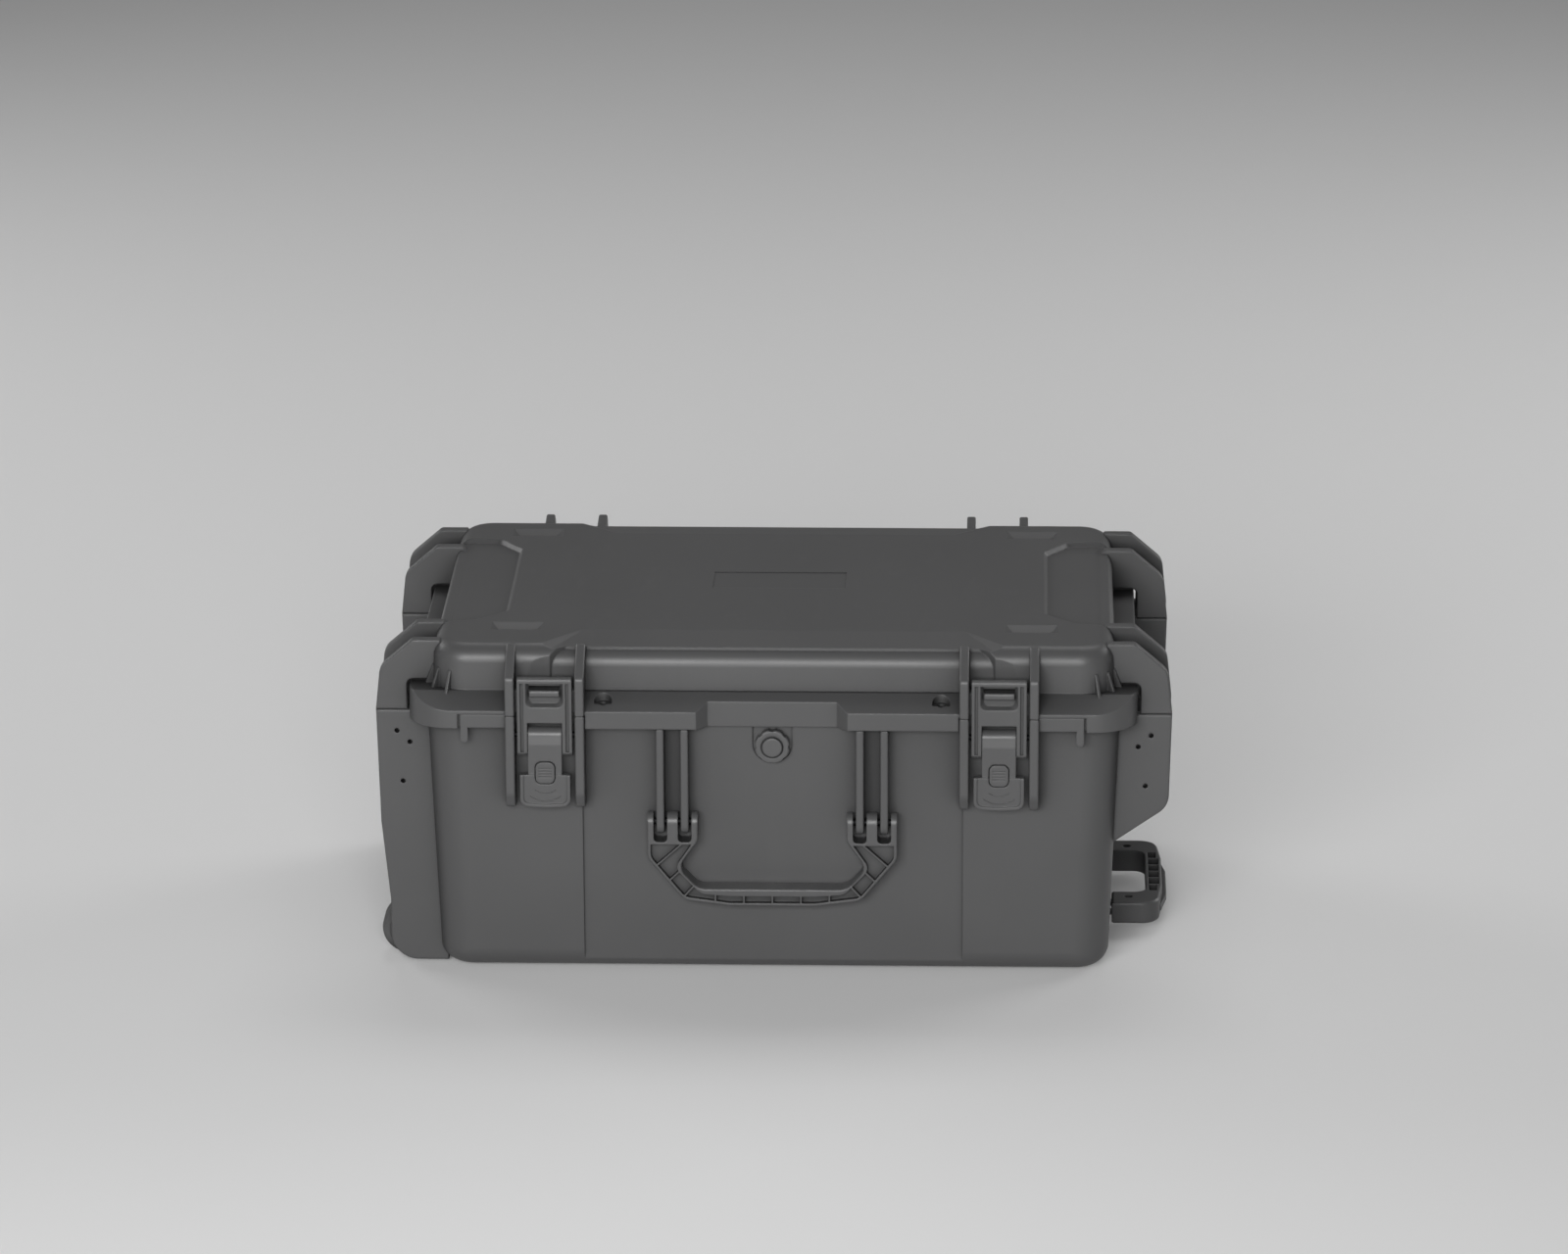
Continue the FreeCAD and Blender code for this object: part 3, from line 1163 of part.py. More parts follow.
    button = slab("button_block", button_x, (-S.button_front, S.button_deep - S.button_front),
                  (S.button_low, S.button_top), S.button_corner, "y")
    grooves = []
    for share in (0.3, 0.43, 0.57, 0.7):
        z = S.button_low + (S.button_top - S.button_low) * share
        grooves.append(box("button_groove", (button_x[0] + 2.0, button_x[1] - 2.0),
                           (-S.button_front - 1.0, 0.3 - S.button_front), (z, z + 0.7)))
    keep("latch_button_" + name, cut("button", button, grooves))
    middle_z = (S.button_low + S.button_top) / 2
    leaf = box("latch_leaf", (middle - S.tongue_half + 1.0, middle + S.tongue_half - 1.0),
               (back, back + S.leaf_thick), (middle_z - S.leaf_half, middle_z + S.leaf_half))
    keep("latch_spring_" + name, leaf)
    reach = S.rib_offset + S.rib_width / 2 - 1.5
    keep("latch_lever_pin_" + name,
         pin("latch_lever_pin_" + name, "x", (middle - reach, pivot[0], pivot[1]), 2.0 * reach,
             S.lever_pin))
    reach = S.claw_half - 0.3
    keep("latch_claw_pin_" + name,
         pin("latch_claw_pin_" + name, "x", (middle - reach, claw_pivot[0], claw_pivot[1]), 2.0 * reach,
             S.claw_pin))


def claw_cuts(middle, front):
    """The slanted finger recess, its slot and the edge grooves of a claw."""
    half = S.finger_half
    top = S.claw_top - S.finger_drop
    low = top - S.finger_high
    lean = S.finger_slant
    outlines = []
    for way in (-1.0, 1.0):
        side = half + lean * way
        floor = low - lean * way
        outlines.append([(middle - side, top), (middle - side, floor, 5.5), (middle + side, floor, 5.5),
                         (middle + side, top)])
    recess = sloped_y("finger_recess", (front + S.finger_deep, front - S.finger_deep), *outlines)
    slot_top = top - lean
    slot = box("finger_slot", (middle - half + lean, middle + half - lean), (front, front + 9.0),
               (slot_top - S.finger_slot, slot_top))
    cuts = [recess, slot]
    wide = S.claw_groove_wide / 2
    for way in (-1.0, 1.0):
        x = middle + way * (S.claw_half - S.claw_groove_in)
        cuts.append(box("claw_groove", (x - wide, x + wide), (front - 1.0, front + S.claw_groove_deep),
                        (S.claw_pivot_z, S.claw_top - S.finger_drop)))
    return cuts


def claw_ledge(middle, front):
    """The rounded ledge under the slot in a claw's finger recess."""
    half = S.finger_half - S.finger_slant - 0.6
    high = S.claw_top - S.finger_drop - S.finger_slant - S.finger_slot
    ledge = box("finger_ledge_block", (middle - half, middle + half),
                (front + 0.5, front + S.finger_deep + 1.0),
                (high - S.finger_ledge, high))
    return rounded("finger_ledge", ledge, (both_rules(along("x"), touches("y", front + 0.5)), 1.8))


def sloped_y(label, y, back, front):
    """A block between two outlines in X and Z, at two distances along Y."""
    sketches = []
    for mark, length, corners in (("_back", y[0], back), ("_front", y[1], front)):
        sketch = DOC.addObject("Sketcher::SketchObject", label + mark)
        sketch.Placement = Placement(Vector(), PLANES["xz"][0])
        bind(sketch, "Placement.Base.y", length)
        outline_sketch(sketch, corners)
        sketches.append(sketch)
    piece = DOC.addObject("Part::Loft", label + "_ruled")
    piece.Sections = sketches
    piece.Solid = True
    piece.Ruled = True
    picks = []
    for corner in back:
        if len(corner) == 3:
            foot = Vector(size(corner[0]).value, size(y[0]).value, size(corner[1]).value)
            picks.append((leaving_edge(foot), corner[2]))
    return rounded(label, piece, *picks)


def leaving_edge(foot):
    """Picks the edge that leaves one corner of a back outline along Y."""
    def rule(edge):
        leaves = edge.BoundBox.YLength > 0.01
        return leaves and any(vertex.Point.distanceToPoint(foot) < 0.01 for vertex in edge.Vertexes)
    return rule


def touches(axis, length):
    """Picks the edges that reach a plane square to an axis."""
    here = size(length).value
    name = axis.upper()

    def rule(edge):
        bounds = edge.BoundBox
        reach = (getattr(bounds, name + "Min"), getattr(bounds, name + "Max"))
        return min(abs(r - here) for r in reach) < 0.01
    return rule


def front_handle():
    """A drop handle: a ribbed channel moulding whose fingers straddle the bracket ribs."""
    arm = S.grip_arm_x
    out = arm + S.grip_arm_half
    inn = arm - S.grip_arm_half
    top = S.grip_pivot_z + S.grip_half_deep
    low = S.grip_low
    half = [(out, top), (out, low + 36.0, 10.0), (arm - 8.0, low + 5.0, 12.0), (30.0, low + 1.0)]
    inner = [(inn, low + 13.5, 14.0), (arm - 3.5, low + 29.0, 9.0), (inn, low + 49.0, 8.0), (inn, top)]
    outline = half + flip(half) + flip(inner) + inner
    front = -S.grip_pivot_y - S.grip_half_deep
    back = -S.grip_pivot_y + S.grip_half_deep
    frame = plate("handle_frame", "xz", outline, (front, back + S.grip_bar_back), 0.8)
    lower = box("handle_lower", (-out - 1.0, out + 1.0), (front - 1.0, back), (0.0, S.grip_pivot_z))
    bar = box("handle_bar", (-out - 1.0, out + 1.0), (front - 1.0, back + 1.0),
              (0.0, S.grip_slot_low - 3.0))
    upper = rod("handle_round", "x", -S.grip_pivot_y, S.grip_pivot_z, (-out - 1.0, out + 1.0),
                S.grip_half_deep)
    frame = common("handle_profile", [frame, fuse("handle_limits", [lower, bar, upper])])
    slots = []
    for way in (-1.0, 1.0):
        near = arm + way * S.grip_slot_in
        far = arm + way * S.grip_slot_out
        span = (near, far) if way > 0 else (far, near)
        slots += pair(slab("finger_slot", span, (front - 1.0, back + 1.0), (S.grip_slot_low, top + 5.0),
                           3.0, "y"))
    slots += pair(rod("handle_bore", "x", -S.grip_pivot_y, S.grip_pivot_z, (inn - 1.0, out + 1.0),
                      S.grip_pin + S.running))
    keep("front_handle", cut("handle", frame, slots + handle_channel(front)))
    for side, name in ((-1.0, "left"), (1.0, "right")):
        start = side * arm - S.grip_arm_half + 0.4
        label = "handle_pin_" + name
        keep(label, pin(label, "x", (start, -S.grip_pivot_y, S.grip_pivot_z), 2.0 * S.grip_arm_half - 0.8,
                        S.grip_pin))


def handle_channel(front):
    """The handle's open channel: a pocket inside its rim, with thin ribs left across it."""
    arm = S.grip_arm_x
    low = S.grip_low
    rim = S.grip_rim
    out = arm + S.grip_arm_half - rim
    inn = arm - S.grip_arm_half
    top = S.grip_slot_low - 1.8
    bar_top = low + S.grip_bar_cell + rim
    bend = 30.0
    half = [(out, top), (out, low + 36.8, 9.0), (arm - 8.6, low + 5.2 + rim, 10.0), (bend, low + 1.0 + rim)]
    inner = [(bend, bar_top), (inn - 2.0, bar_top + 1.5, 10.0), (arm - 3.5 + rim, low + 29.0, 7.0),
             (inn + 4.6, top)]
    outline = half + flip(half) + flip(inner) + inner
    span = (front - 1.0, front + S.grip_channel)
    pocket = plate("handle_pocket", "xz", outline, span)
    ribs = []
    for near, far in (((12.2, 30.0), (-4.4, 44.7)), ((3.3, 18.7), (-5.0, 26.7)),
                      ((-7.6, 7.4), (-14.0, 15.0))):
        x0 = arm + near[0] + 2.0
        z0 = low + near[1] - 2.0
        x1 = arm + far[0] - 2.0
        z1 = low + far[1] + 2.0
        thin = S.grip_web * 0.7
        corners = [(x0 - thin, z0), (x0 + thin, z0), (x1 + thin, z1), (x1 - thin, z1)]
        ribs += pair(plate("handle_web", "xz", corners, (front - 2.0, front + S.grip_channel + 1.0)))
    for number in (-2.0, -1.0, 0.0, 1.0, 2.0):
        x = number * S.grip_web_pitch
        ribs.append(box("handle_bar_web", (x - S.grip_web / 2, x + S.grip_web / 2),
                        (front - 2.0, front + S.grip_channel + 1.0), (low, bar_top + 1.0)))
    return [cut("handle_cells", pocket, ribs)]


def flip(corners):
    """An outline's corners mirrored left to right, in reverse order."""
    return [(-c[0],) + tuple(c[1:]) for c in reversed(corners)]


def valve():
    """Pressure valve: a flanged body through the wall, a lobed ring that turns, a washer and a nut."""
    outside = front_wall(S.valve_z) - S.panel_step - S.valve_pocket
    inside = front_wall(S.valve_z) - S.wall
    ring_back = S.valve_ring_back
    middle = size(0.0)
    shank = S.valve_shank
    flange = S.valve_ring - 2.2
    washer = 0.8
    body_front = S.valve_ring_front - 1.6
    tip = inside - 9.0
    profile = [(0.0, 0.0), (shank, 0.0), (shank, outside - tip), (shank, outside - tip + washer),
               (flange, outside - tip + washer), (flange, ring_back - tip - 0.3),
               (shank - 0.6, ring_back - tip - 0.3),
               (shank - 0.6, body_front - tip), (0.0, body_front - tip)]
    body = turned("valve_body", "y", (middle, -tip, S.valve_z), profile)
    body.Placement = Placement(Vector(), Rotation(Vector(1, 0, 0), 90))
    keep("valve_body", body)
    washer_ring = ring_y("valve_washer_ring", (outside, outside + washer), flange, shank + S.seat)
    keep("valve_washer", washer_ring)

    ring = rod("knob_ring", "y", middle, S.valve_z, (-S.valve_ring_front, -ring_back), S.valve_ring)
    ring = rounded("knob_soft", ring, (level("y", -S.valve_ring_front), 1.4))
    cap = rod("knob_cap", "y", middle, S.valve_z, (-S.valve_ring_front - 1.2, -ring_back - 1.0),
              S.valve_cap)
    cap = rounded("knob_cap_soft", cap, (level("y", -S.valve_ring_front - 1.2), 0.8))
    moat = ring_y("knob_moat", (S.valve_ring_front - 1.2, S.valve_ring_front + 3.0), S.valve_cap + 1.0,
                  S.valve_cap)
    bore = rod("knob_bore", "y", middle, S.valve_z, (-body_front - 0.3, -ring_back + 1.0),
               shank - 0.6 + S.running)
    bites = []
    for number in range(8):
        turn = Rotation(Vector(0, 1, 0), 45.0 * number)
        bite = DOC.addObject("Part::Cylinder", "knob_bite")
        bite.Placement = Placement(Vector(), AXIS_TURN["y"])
        bind(bite, "Radius", 3.2)
        bind(bite, "Height", S.valve_ring_front - ring_back + 2.0)
        way = turn.multVec(Vector(1, 0, 0))
        reach = S.valve_ring + 2.2
        place(bite, reach * way.x, -S.valve_ring_front - 1.0, S.valve_z + reach * way.z)
        bites.append(bite)
    keep("valve_knob", cut("knob", fuse("knob_solid", [cut("knob_moated", ring, [moat]), cap]),
                           bites + [bore]))

    nut_span = (inside - 5.0, inside)
    nut = DOC.addObject("Part::Prism", "valve_nut_block")
    nut.Polygon = 6
    bind(nut, "Circumradius", S.valve_shank + 4.0)
    bind(nut, "Height", nut_span[1] - nut_span[0])
    nut.Placement = Placement(Vector(), AXIS_TURN["y"])
    place(nut, middle, -nut_span[1] + 0.6, S.valve_z)
    keep("valve_nut", cut("valve_nut_bored", nut, [rod("valve_nut_bore", "y", middle, S.valve_z,
                                                       (-S.rib_front, -tip + 1.0), shank + S.seat)]))


def ring_y(label, span, radius, bore):
    """A ring along Y round the valve's axis, between two distances to the front."""
    outer = rod(label + "_outer", "y", size(0.0), S.valve_z, (-size(span[1]), -size(span[0])), radius)
    inner = rod(label + "_inner", "y", size(0.0), S.valve_z, (-size(span[1]) - 1.0, -size(span[0]) + 1.0),
                bore)
    return cut(label, outer, [inner])


def wheel(side, name):
    """One wheel between a pair of plates. side is -1 at the front and 1 at the back."""
    middle = side * (S.fin_inner_y + FIN_GAP_OUT) / 2
    half = S.wheel_width / 2
    spot = (-S.wheel_x, middle - half, S.wheel_z)
    rim = S.rim_radius
    radius = S.wheel_radius
    width = S.wheel_width
    bore = S.axle_radius + S.running
    hub = turned("hub_" + name, "y", spot,
                 [(bore, 0.0), (bore + 3.0, 0.0), (bore + 3.5, 2.0), (rim - 3.0, 2.0), (rim - 2.5, 0.8),
                  (rim, 0.8),
                  (rim, width - 0.8), (rim - 2.5, width - 0.8), (rim - 3.0, width - 2.0),
                  (bore + 3.5, width - 2.0),
                  (bore + 3.0, width), (bore, width)])
    keep("wheel_hub_" + name, hub)
    inner = rim + S.seat
    groove = 1.2
    tyre = turned("tyre_" + name, "y", spot,
                  [(inner, 0.6), (radius - 5.0, 0.6), (radius - 1.8, 2.6), (radius, 6.5),
                   (radius, half - 2.0),
                   (radius - groove, half - 1.0), (radius - groove, half + 1.0), (radius, half + 2.0),
                   (radius, width - 6.5), (radius - 1.8, width - 2.6), (radius - 5.0, width - 0.6),
                   (inner, width - 0.6)])
    keep("tyre_" + name, tyre)
    start = (S.fin_inner_y - S.axle_depth + 0.1) if side > 0 else (-FIN_GAP_OUT - S.axle_depth + 0.1)
    long = FIN_GAP_OUT - S.fin_inner_y + 2.0 * S.axle_depth - 0.2
    keep("axle_" + name, pin("axle_pin_" + name, "y", (-S.wheel_x, start, S.wheel_z), long, S.axle_radius))
    gap = (FIN_GAP_OUT - S.fin_inner_y - width) / 2 - 0.15
    rings = []
    for edge, way in ((middle - half, -1.0), (middle + half, 1.0)):
        face = edge + way * 0.15
        span = (face, face + way * gap) if way > 0 else (face + way * gap, face)
        outer = rod("washer_outer", "y", -S.wheel_x, S.wheel_z, span, S.washer_radius)
        inner_rod = rod("washer_inner", "y", -S.wheel_x, S.wheel_z, (span[0] - 1.0, span[1] + 1.0),
                        S.axle_radius + S.seat)
        rings.append(cut("axle_washer", outer, [inner_rod]))
    group = DOC.addObject("Part::Compound", "axle_washers_" + name)
    group.Links = rings
    keep("axle_washers_" + name, group)


def trolley():
    """The pull-out handle: two telescopic tube pairs in a recess under the floor, a grip and a release bar."""
    wall = S.tube_wall
    for side, name in ((-1.0, "front"), (1.0, "rear")):
        y = side * S.tube_y
        start = -S.tube_start
        end = S.tube_end
        step = S.tube_stagger
        keep("outer_tube_" + name, tube("outer_" + name, (start, end), y, S.tube_z, S.outer_tube,
                                        S.outer_tube - wall))
        middle_end = end + step
        keep("middle_tube_" + name, tube("middle_" + name, (start + step, middle_end), y, S.tube_z,
                                         S.middle_tube,
                                         S.middle_tube - wall))
        inner_end = S.pull_screw_x + 8.0
        keep("inner_tube_" + name, tube("inner_" + name, (start + 2.0 * step, inner_end), y, S.tube_z,
                                        S.inner_tube,
                                        S.inner_tube - wall))
        keep("mouth_bush_" + name, tube("mouth_bush_" + name, (end - S.bush_length, end), y, S.tube_z,
                                        S.outer_tube - wall - S.seat, S.middle_tube + S.running))
        keep("middle_bush_" + name, tube("middle_bush_" + name, (middle_end - S.bush_length, middle_end), y,
                                         S.tube_z,
                                         S.middle_tube - wall - S.seat, S.inner_tube + S.running))
    tube_blocks()
    trolley_cover()
    trolley_grip()


def tube_blocks():
    """Blocks that hold the outer tubes under the floor, one at each end."""
    for name, start in (("inner", -S.tube_start + 6.0), ("mouth", S.tube_end - S.block_length)):
        block = slab("block_" + name, (start, start + S.block_length),
                     (0.5 - S.recess_half, S.recess_half - 0.5), (COVER_TOP, S.recess_top), 3.0, "x")
        bores = []
        for side in (-1.0, 1.0):
            bores.append(rod("tube_seat", "x", side * S.tube_y, S.tube_z,
                             (start - 1.0, start + S.block_length + 1.0),
                             S.outer_tube + S.seat))
        middle = box("tube_block_room", (start - 1.0, start + S.block_length + 1.0),
                     (16.0 - S.tube_y, S.tube_y - 16.0), (COVER_TOP - 1.0, S.recess_top - 5.0))
        keep("tube_block_" + name, cut("tube_block_bored", block, bores + [middle]))


def trolley_cover():
    """The plate that closes the recess from below, and its screws."""
    gap = S.cover_gap
    start = gap - S.recess_start
    half = S.recess_half - gap
    sheet = slab("cover_sheet", (start, S.cover_end), (-half, half), (S.foot_height, COVER_TOP), 3.0)
    holes = []
    heads = []
    sink = S.screw_head - S.screw_radius
    for x in screw_spots():
        holes.append(rod("cover_hole", "z", x, size(0.0), (0.0, COVER_TOP + 1.0), S.screw_radius + 0.3))
        holes.append(cone("cover_sink", x, S.foot_height, S.screw_head + 0.3, sink + 0.3))
        shank = rod("cover_screw_shank", "z", x, size(0.0), (S.foot_height, COVER_TOP + 10.0),
                    S.screw_radius)
        head = cone("cover_screw_head", x, S.foot_height, S.screw_head, sink)
        drive = DOC.addObject("Part::Prism", "cover_screw_drive")
        drive.Polygon = 6
        bind(drive, "Circumradius", 1.5)
        bind(drive, "Height", 1.4)
        place(drive, x, size(0.0), S.foot_height - 0.1)
        heads.append(cut("cover_screw", fuse("cover_screw_solid", [shank, head]), [drive]))
    keep("trolley_cover", cut("cover", sheet, holes))
    group = DOC.addObject("Part::Compound", "cover_screws")
    group.Links = heads
    keep("cover_screws", group)


def cone(label, x, z, radius, height):
    """A countersink that narrows upwards to a screw's shank."""
    piece = DOC.addObject("Part::Cone", label)
    bind(piece, "Radius1", radius)
    bind(piece, "Radius2", size(radius) - height)
    bind(piece, "Height", height)
    place(piece, x, size(0.0), z)
    return piece


def trolley_grip():
    """The grip: two arms and a bowed bar with a ribbed pocket, its screws and the release bar."""
    half = S.pull_half
    end = S.pull_end
    shoulder = half * PULL_SHARE
    z = (S.pull_low, S.pull_top)
    outline = [(S.pull_start, -half), (end - PULL_BOW, -half, PULL_CORNER), (end, -shoulder, PULL_SWEEP),
               (end, shoulder, PULL_SWEEP), (end - PULL_BOW, half, PULL_CORNER), (S.pull_start, half)]
    frame = plate("pull_frame", "xy", outline, z, 1.2)
    hole = slab("pull_hole", (S.pull_start - 20.0, S.pull_hole_end), (-S.pull_hole_half, S.pull_hole_half),
                (S.pull_low - 1.0, S.pull_top + 1.0), 9.0)
    tools = [hole]
    cell_start = S.pull_hole_end + PULL_EDGE
    step = (2.0 * S.pull_hole_half - 3.0 * PULL_EDGE) / PULL_CELLS
    for number in range(PULL_CELLS):
        low = step * number - step * (PULL_CELLS / 2)
        outer = number in (0, PULL_CELLS - 1)
        cell_end = end - PULL_EDGE - (PULL_BOW / 2 if outer else 0.0)
        tools.append(box("pull_cell", (cell_start, cell_end), (low + 0.8, low + step - 0.8),
                         (S.pull_top - PULL_CELL_DEEP, S.pull_top + 1.0)))
    slot_deep = S.release_travel + 5.0
    tools.append(box("release_slot", (end - slot_deep, end + 5.0),
                     (-S.release_half - S.side_gap, S.release_half + S.side_gap),
                     (S.pull_low + 3.0 - S.side_gap, S.pull_top - 8.6 + S.side_gap)))
    screws = []
    for side in (-1.0, 1.0):
        y = side * S.tube_y
        tools.append(rod("pull_bore", "x", y, S.tube_z, (S.pull_start - 1.0, S.pull_screw_x + 8.2),
                         S.inner_tube + S.seat))
        tools.append(rod("pull_screw_hole", "z", S.pull_screw_x, y,
                         (S.tube_z + S.inner_tube + 0.4, S.pull_top + 1.0),
                         S.pull_screw))
        low = S.tube_z + S.inner_tube + S.seat
        screws.append(rod("pull_screw", "z", S.pull_screw_x, y, (low, S.tube_z + S.inner_tube + 1.0),
                          S.pull_screw - 1.2))
        tools.append(rod("pull_screw_bore", "z", S.pull_screw_x, y, (S.tube_z, S.pull_top),
                         S.pull_screw - 1.2 + S.seat))
    keep("trolley_grip", cut("pull_grip", frame, tools))
    group = DOC.addObject("Part::Compound", "grip_screws")
    group.Links = screws
    keep("grip_screws", group)
    rest_in = end - slot_deep + S.release_travel + S.leaf_thick + 0.3
    release = plate("release_bar", "xy",
                    [(rest_in, -S.release_half), (end - 1.0, -S.release_half, 1.5),
                     (end + S.release_out, -S.release_half * 0.5, 30.0),
                     (end + S.release_out, S.release_half * 0.5, 30.0),
                     (end - 1.0, S.release_half, 1.5), (rest_in, S.release_half)],
                    (S.pull_low + 3.0, S.pull_top - 8.6), 0.6)
    keep("trolley_release", release)
    middle_z = (S.pull_low + S.pull_top) / 2 - 2.8
    leaf = box("release_leaf", (end - slot_deep, end - slot_deep + S.leaf_thick),
               (-S.release_half * 0.8, S.release_half * 0.8), (middle_z - 1.6, middle_z + 1.6))
    keep("release_spring", leaf)


def hinge_pins():
    reach = S.hinge_lid_offset + S.hinge_rib / 2 - 1.6
    for side, name in ((-1.0, "left"), (1.0, "right")):
        label = "hinge_pin_" + name
        keep(label, pin(label, "x", (side * S.hinge_x - reach, S.hinge_y, HINGE_Z), 2.0 * reach,
                        S.hinge_pin))


def write_parts():
    """Checks every object and writes each sub-part to its own file."""
    DOC.recompute()
    for item in DOC.Objects:
        if "Invalid" in item.State or "Error" in item.State:
            raise RuntimeError("failed: %s %s" % (item.Label, item.State))
    for piece in PARTS:
        shape = piece.Shape
        if shape.isNull() or not shape.isValid() or not shape.Solids:
            raise RuntimeError("bad shape: " + piece.Label)
    os.makedirs("parts", exist_ok=True)
    for piece in PARTS:
        piece.Shape.exportStep("parts/%s.step" % piece.Label)
        print(piece.Label, len(piece.Shape.Solids), round(piece.Shape.Volume))


base_shell()
lid_shell()
seal()
hinge_pins()
for latch_side, latch_name in ((-1.0, "left"), (1.0, "right")):
    latch(latch_side, latch_name)
front_handle()
valve()
for wheel_side, wheel_name in ((-1.0, "front"), (1.0, "rear")):
    wheel(wheel_side, wheel_name)
trolley()
write_parts()
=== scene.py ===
# %% [markdown]
# A wheeled protective case: a moulded tub and lid, two draw latches, a drop handle, a pressure
# valve, two inset wheels and a telescopic handle under the floor. The solids already exist as a
# fixed frame, each piece where the real one is. This lesson gives every surface its finish, adds
# the fine moulded detail that the solids leave out, and sets up the camera and the light.

# %% The frame
import json
import math

import bpy
from mathutils import Matrix, Vector


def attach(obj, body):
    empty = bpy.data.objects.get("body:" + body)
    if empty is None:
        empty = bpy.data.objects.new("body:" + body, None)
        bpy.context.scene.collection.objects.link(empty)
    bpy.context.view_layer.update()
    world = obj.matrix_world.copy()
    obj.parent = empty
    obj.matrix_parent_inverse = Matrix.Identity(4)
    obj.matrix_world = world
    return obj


MM = 0.001
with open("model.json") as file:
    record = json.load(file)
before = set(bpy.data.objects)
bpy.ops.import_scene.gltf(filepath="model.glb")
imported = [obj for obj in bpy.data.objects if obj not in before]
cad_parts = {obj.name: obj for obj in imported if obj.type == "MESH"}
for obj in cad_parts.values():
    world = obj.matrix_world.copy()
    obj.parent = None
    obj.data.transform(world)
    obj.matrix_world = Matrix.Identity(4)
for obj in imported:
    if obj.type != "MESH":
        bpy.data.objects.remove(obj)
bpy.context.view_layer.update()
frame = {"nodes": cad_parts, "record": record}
scene = bpy.context.scene
scene.view_settings.view_transform = "Standard"

# %% [markdown]
# The camera stands far off and looks down a little, as in the photograph. A long lens keeps the
# sides of the case almost parallel. The turn is given as three plain angles: how far the camera
# is swung to the side, how far it looks down, and how far the picture leans.

# %% The camera
CAMERA_PLACE = Vector((0.17509, -5.06677, 1.81069))
SWING = math.radians(-1.945)
LOOK_DOWN = math.radians(17.546)
LEAN = math.radians(-0.215)
PICTURE_WIDTH = 1600
FOCAL_PIXELS = 7552.9


def add_camera():
    """Puts the camera where the photograph was taken from."""
    lens = bpy.data.cameras.new("camera")
    lens.sensor_fit = "HORIZONTAL"
    lens.sensor_width = 36.0
    lens.lens = FOCAL_PIXELS / PICTURE_WIDTH * lens.sensor_width
    camera = bpy.data.objects.new("camera", lens)
    scene.collection.objects.link(camera)
    turn = Matrix.Rotation(-SWING, 3, "Z") @ Matrix.Rotation(math.pi / 2 - LOOK_DOWN, 3, "X")
    camera.rotation_euler = (turn @ Matrix.Rotation(LEAN, 3, "Z")).to_euler()
    camera.location = CAMERA_PLACE
    scene.camera = camera
    print("camera: lens", round(lens.lens, 1), "mm")


add_camera()

# %% [markdown]
# Shader maths reads best as plain Python. One small class stands for a socket and knows plus,
# minus and times, each of which adds a Math node. Every other node comes from one method
# that takes the node's type, its settings, and what goes into its sockets.

# %% Writing finishes as expressions


class Value:
    """An output socket that Python arithmetic works on."""

    def __init__(self, nodes, socket):
        self.nodes = nodes
        self.socket = socket

    def join(self, operation, first, second):
        return self.nodes.node("ShaderNodeMath", {"operation": operation}, {0: first, 1: second})

    def __add__(self, other):
        return self.join("ADD", self, other)

    def __radd__(self, other):
        return self.join("ADD", other, self)

    def __sub__(self, other):
        return self.join("SUBTRACT", self, other)

    def __rsub__(self, other):
        return self.join("SUBTRACT", other, self)

    def __mul__(self, other):
        return self.join("MULTIPLY", self, other)

    def __rmul__(self, other):
        return self.join("MULTIPLY", other, self)


class Nodes:
    """The node tree of a material or of the world."""

    def __init__(self, tree):
        self.tree = tree

    def node(self, kind, settings=None, sockets=None, output=0):
        """Adds a node: settings first, then the values or links of its sockets."""
        made = self.tree.nodes.new(kind)
        for name, setting in (settings or {}).items():
            if name == "stops":
                self.set_stops(made.color_ramp.elements, setting)
            else:
                setattr(made, name, setting)
        for name, feed in (sockets or {}).items():
            if isinstance(feed, Value):
                self.tree.links.new(feed.socket, made.inputs[name])
            else:
                made.inputs[name].default_value = feed
        return Value(self, made.outputs[output])

    def set_stops(self, elements, stops):
        """Gives a colour ramp its grey stops of place and tone."""
        while len(elements) < len(stops):
            elements.new(0.5)
        for element, (spot, tone) in zip(elements, stops):
            element.position = spot
            element.color = (tone, tone, tone, 1.0)

    def ramp(self, value, *stops):
        """Maps a value through grey stops of place and tone."""
        return self.node("ShaderNodeValToRGB", {"stops": stops}, {"Fac": value})


print("nodes: ready to write")

# %% [markdown]
# The stage is a plain pale floor under soft light. The case is dark and its fronts are what
# counts, so a wide soft box stands low in front. One behind and above lifts the tops, and two at
# the rear corners light the ends and the back. A grid on each box narrows its beam and keeps the
# floor beside it from burning out. The world is bright near the horizon and dim overhead, like a
# studio with pale walls and a dark ceiling, so satin plastic changes tone from face to face. The
# floor has a faint glow that the camera alone sees, which keeps it pale without lighting the case.

# %% The stage
FLOOR_TONE = 0.7
FLOOR_GLOW = 0.08
FLOOR_ROUGHNESS = 0.9
FLOOR_SHEEN = 0.1
FLOOR_SIZE = 30.0
WORLD_STRENGTH = 0.32
BOX_SPREAD = math.radians(140.0)
WORLD_STOPS = ((0.0, 0.5), (0.5, 0.85), (0.62, 0.6), (0.8, 0.28), (1.0, 0.16))


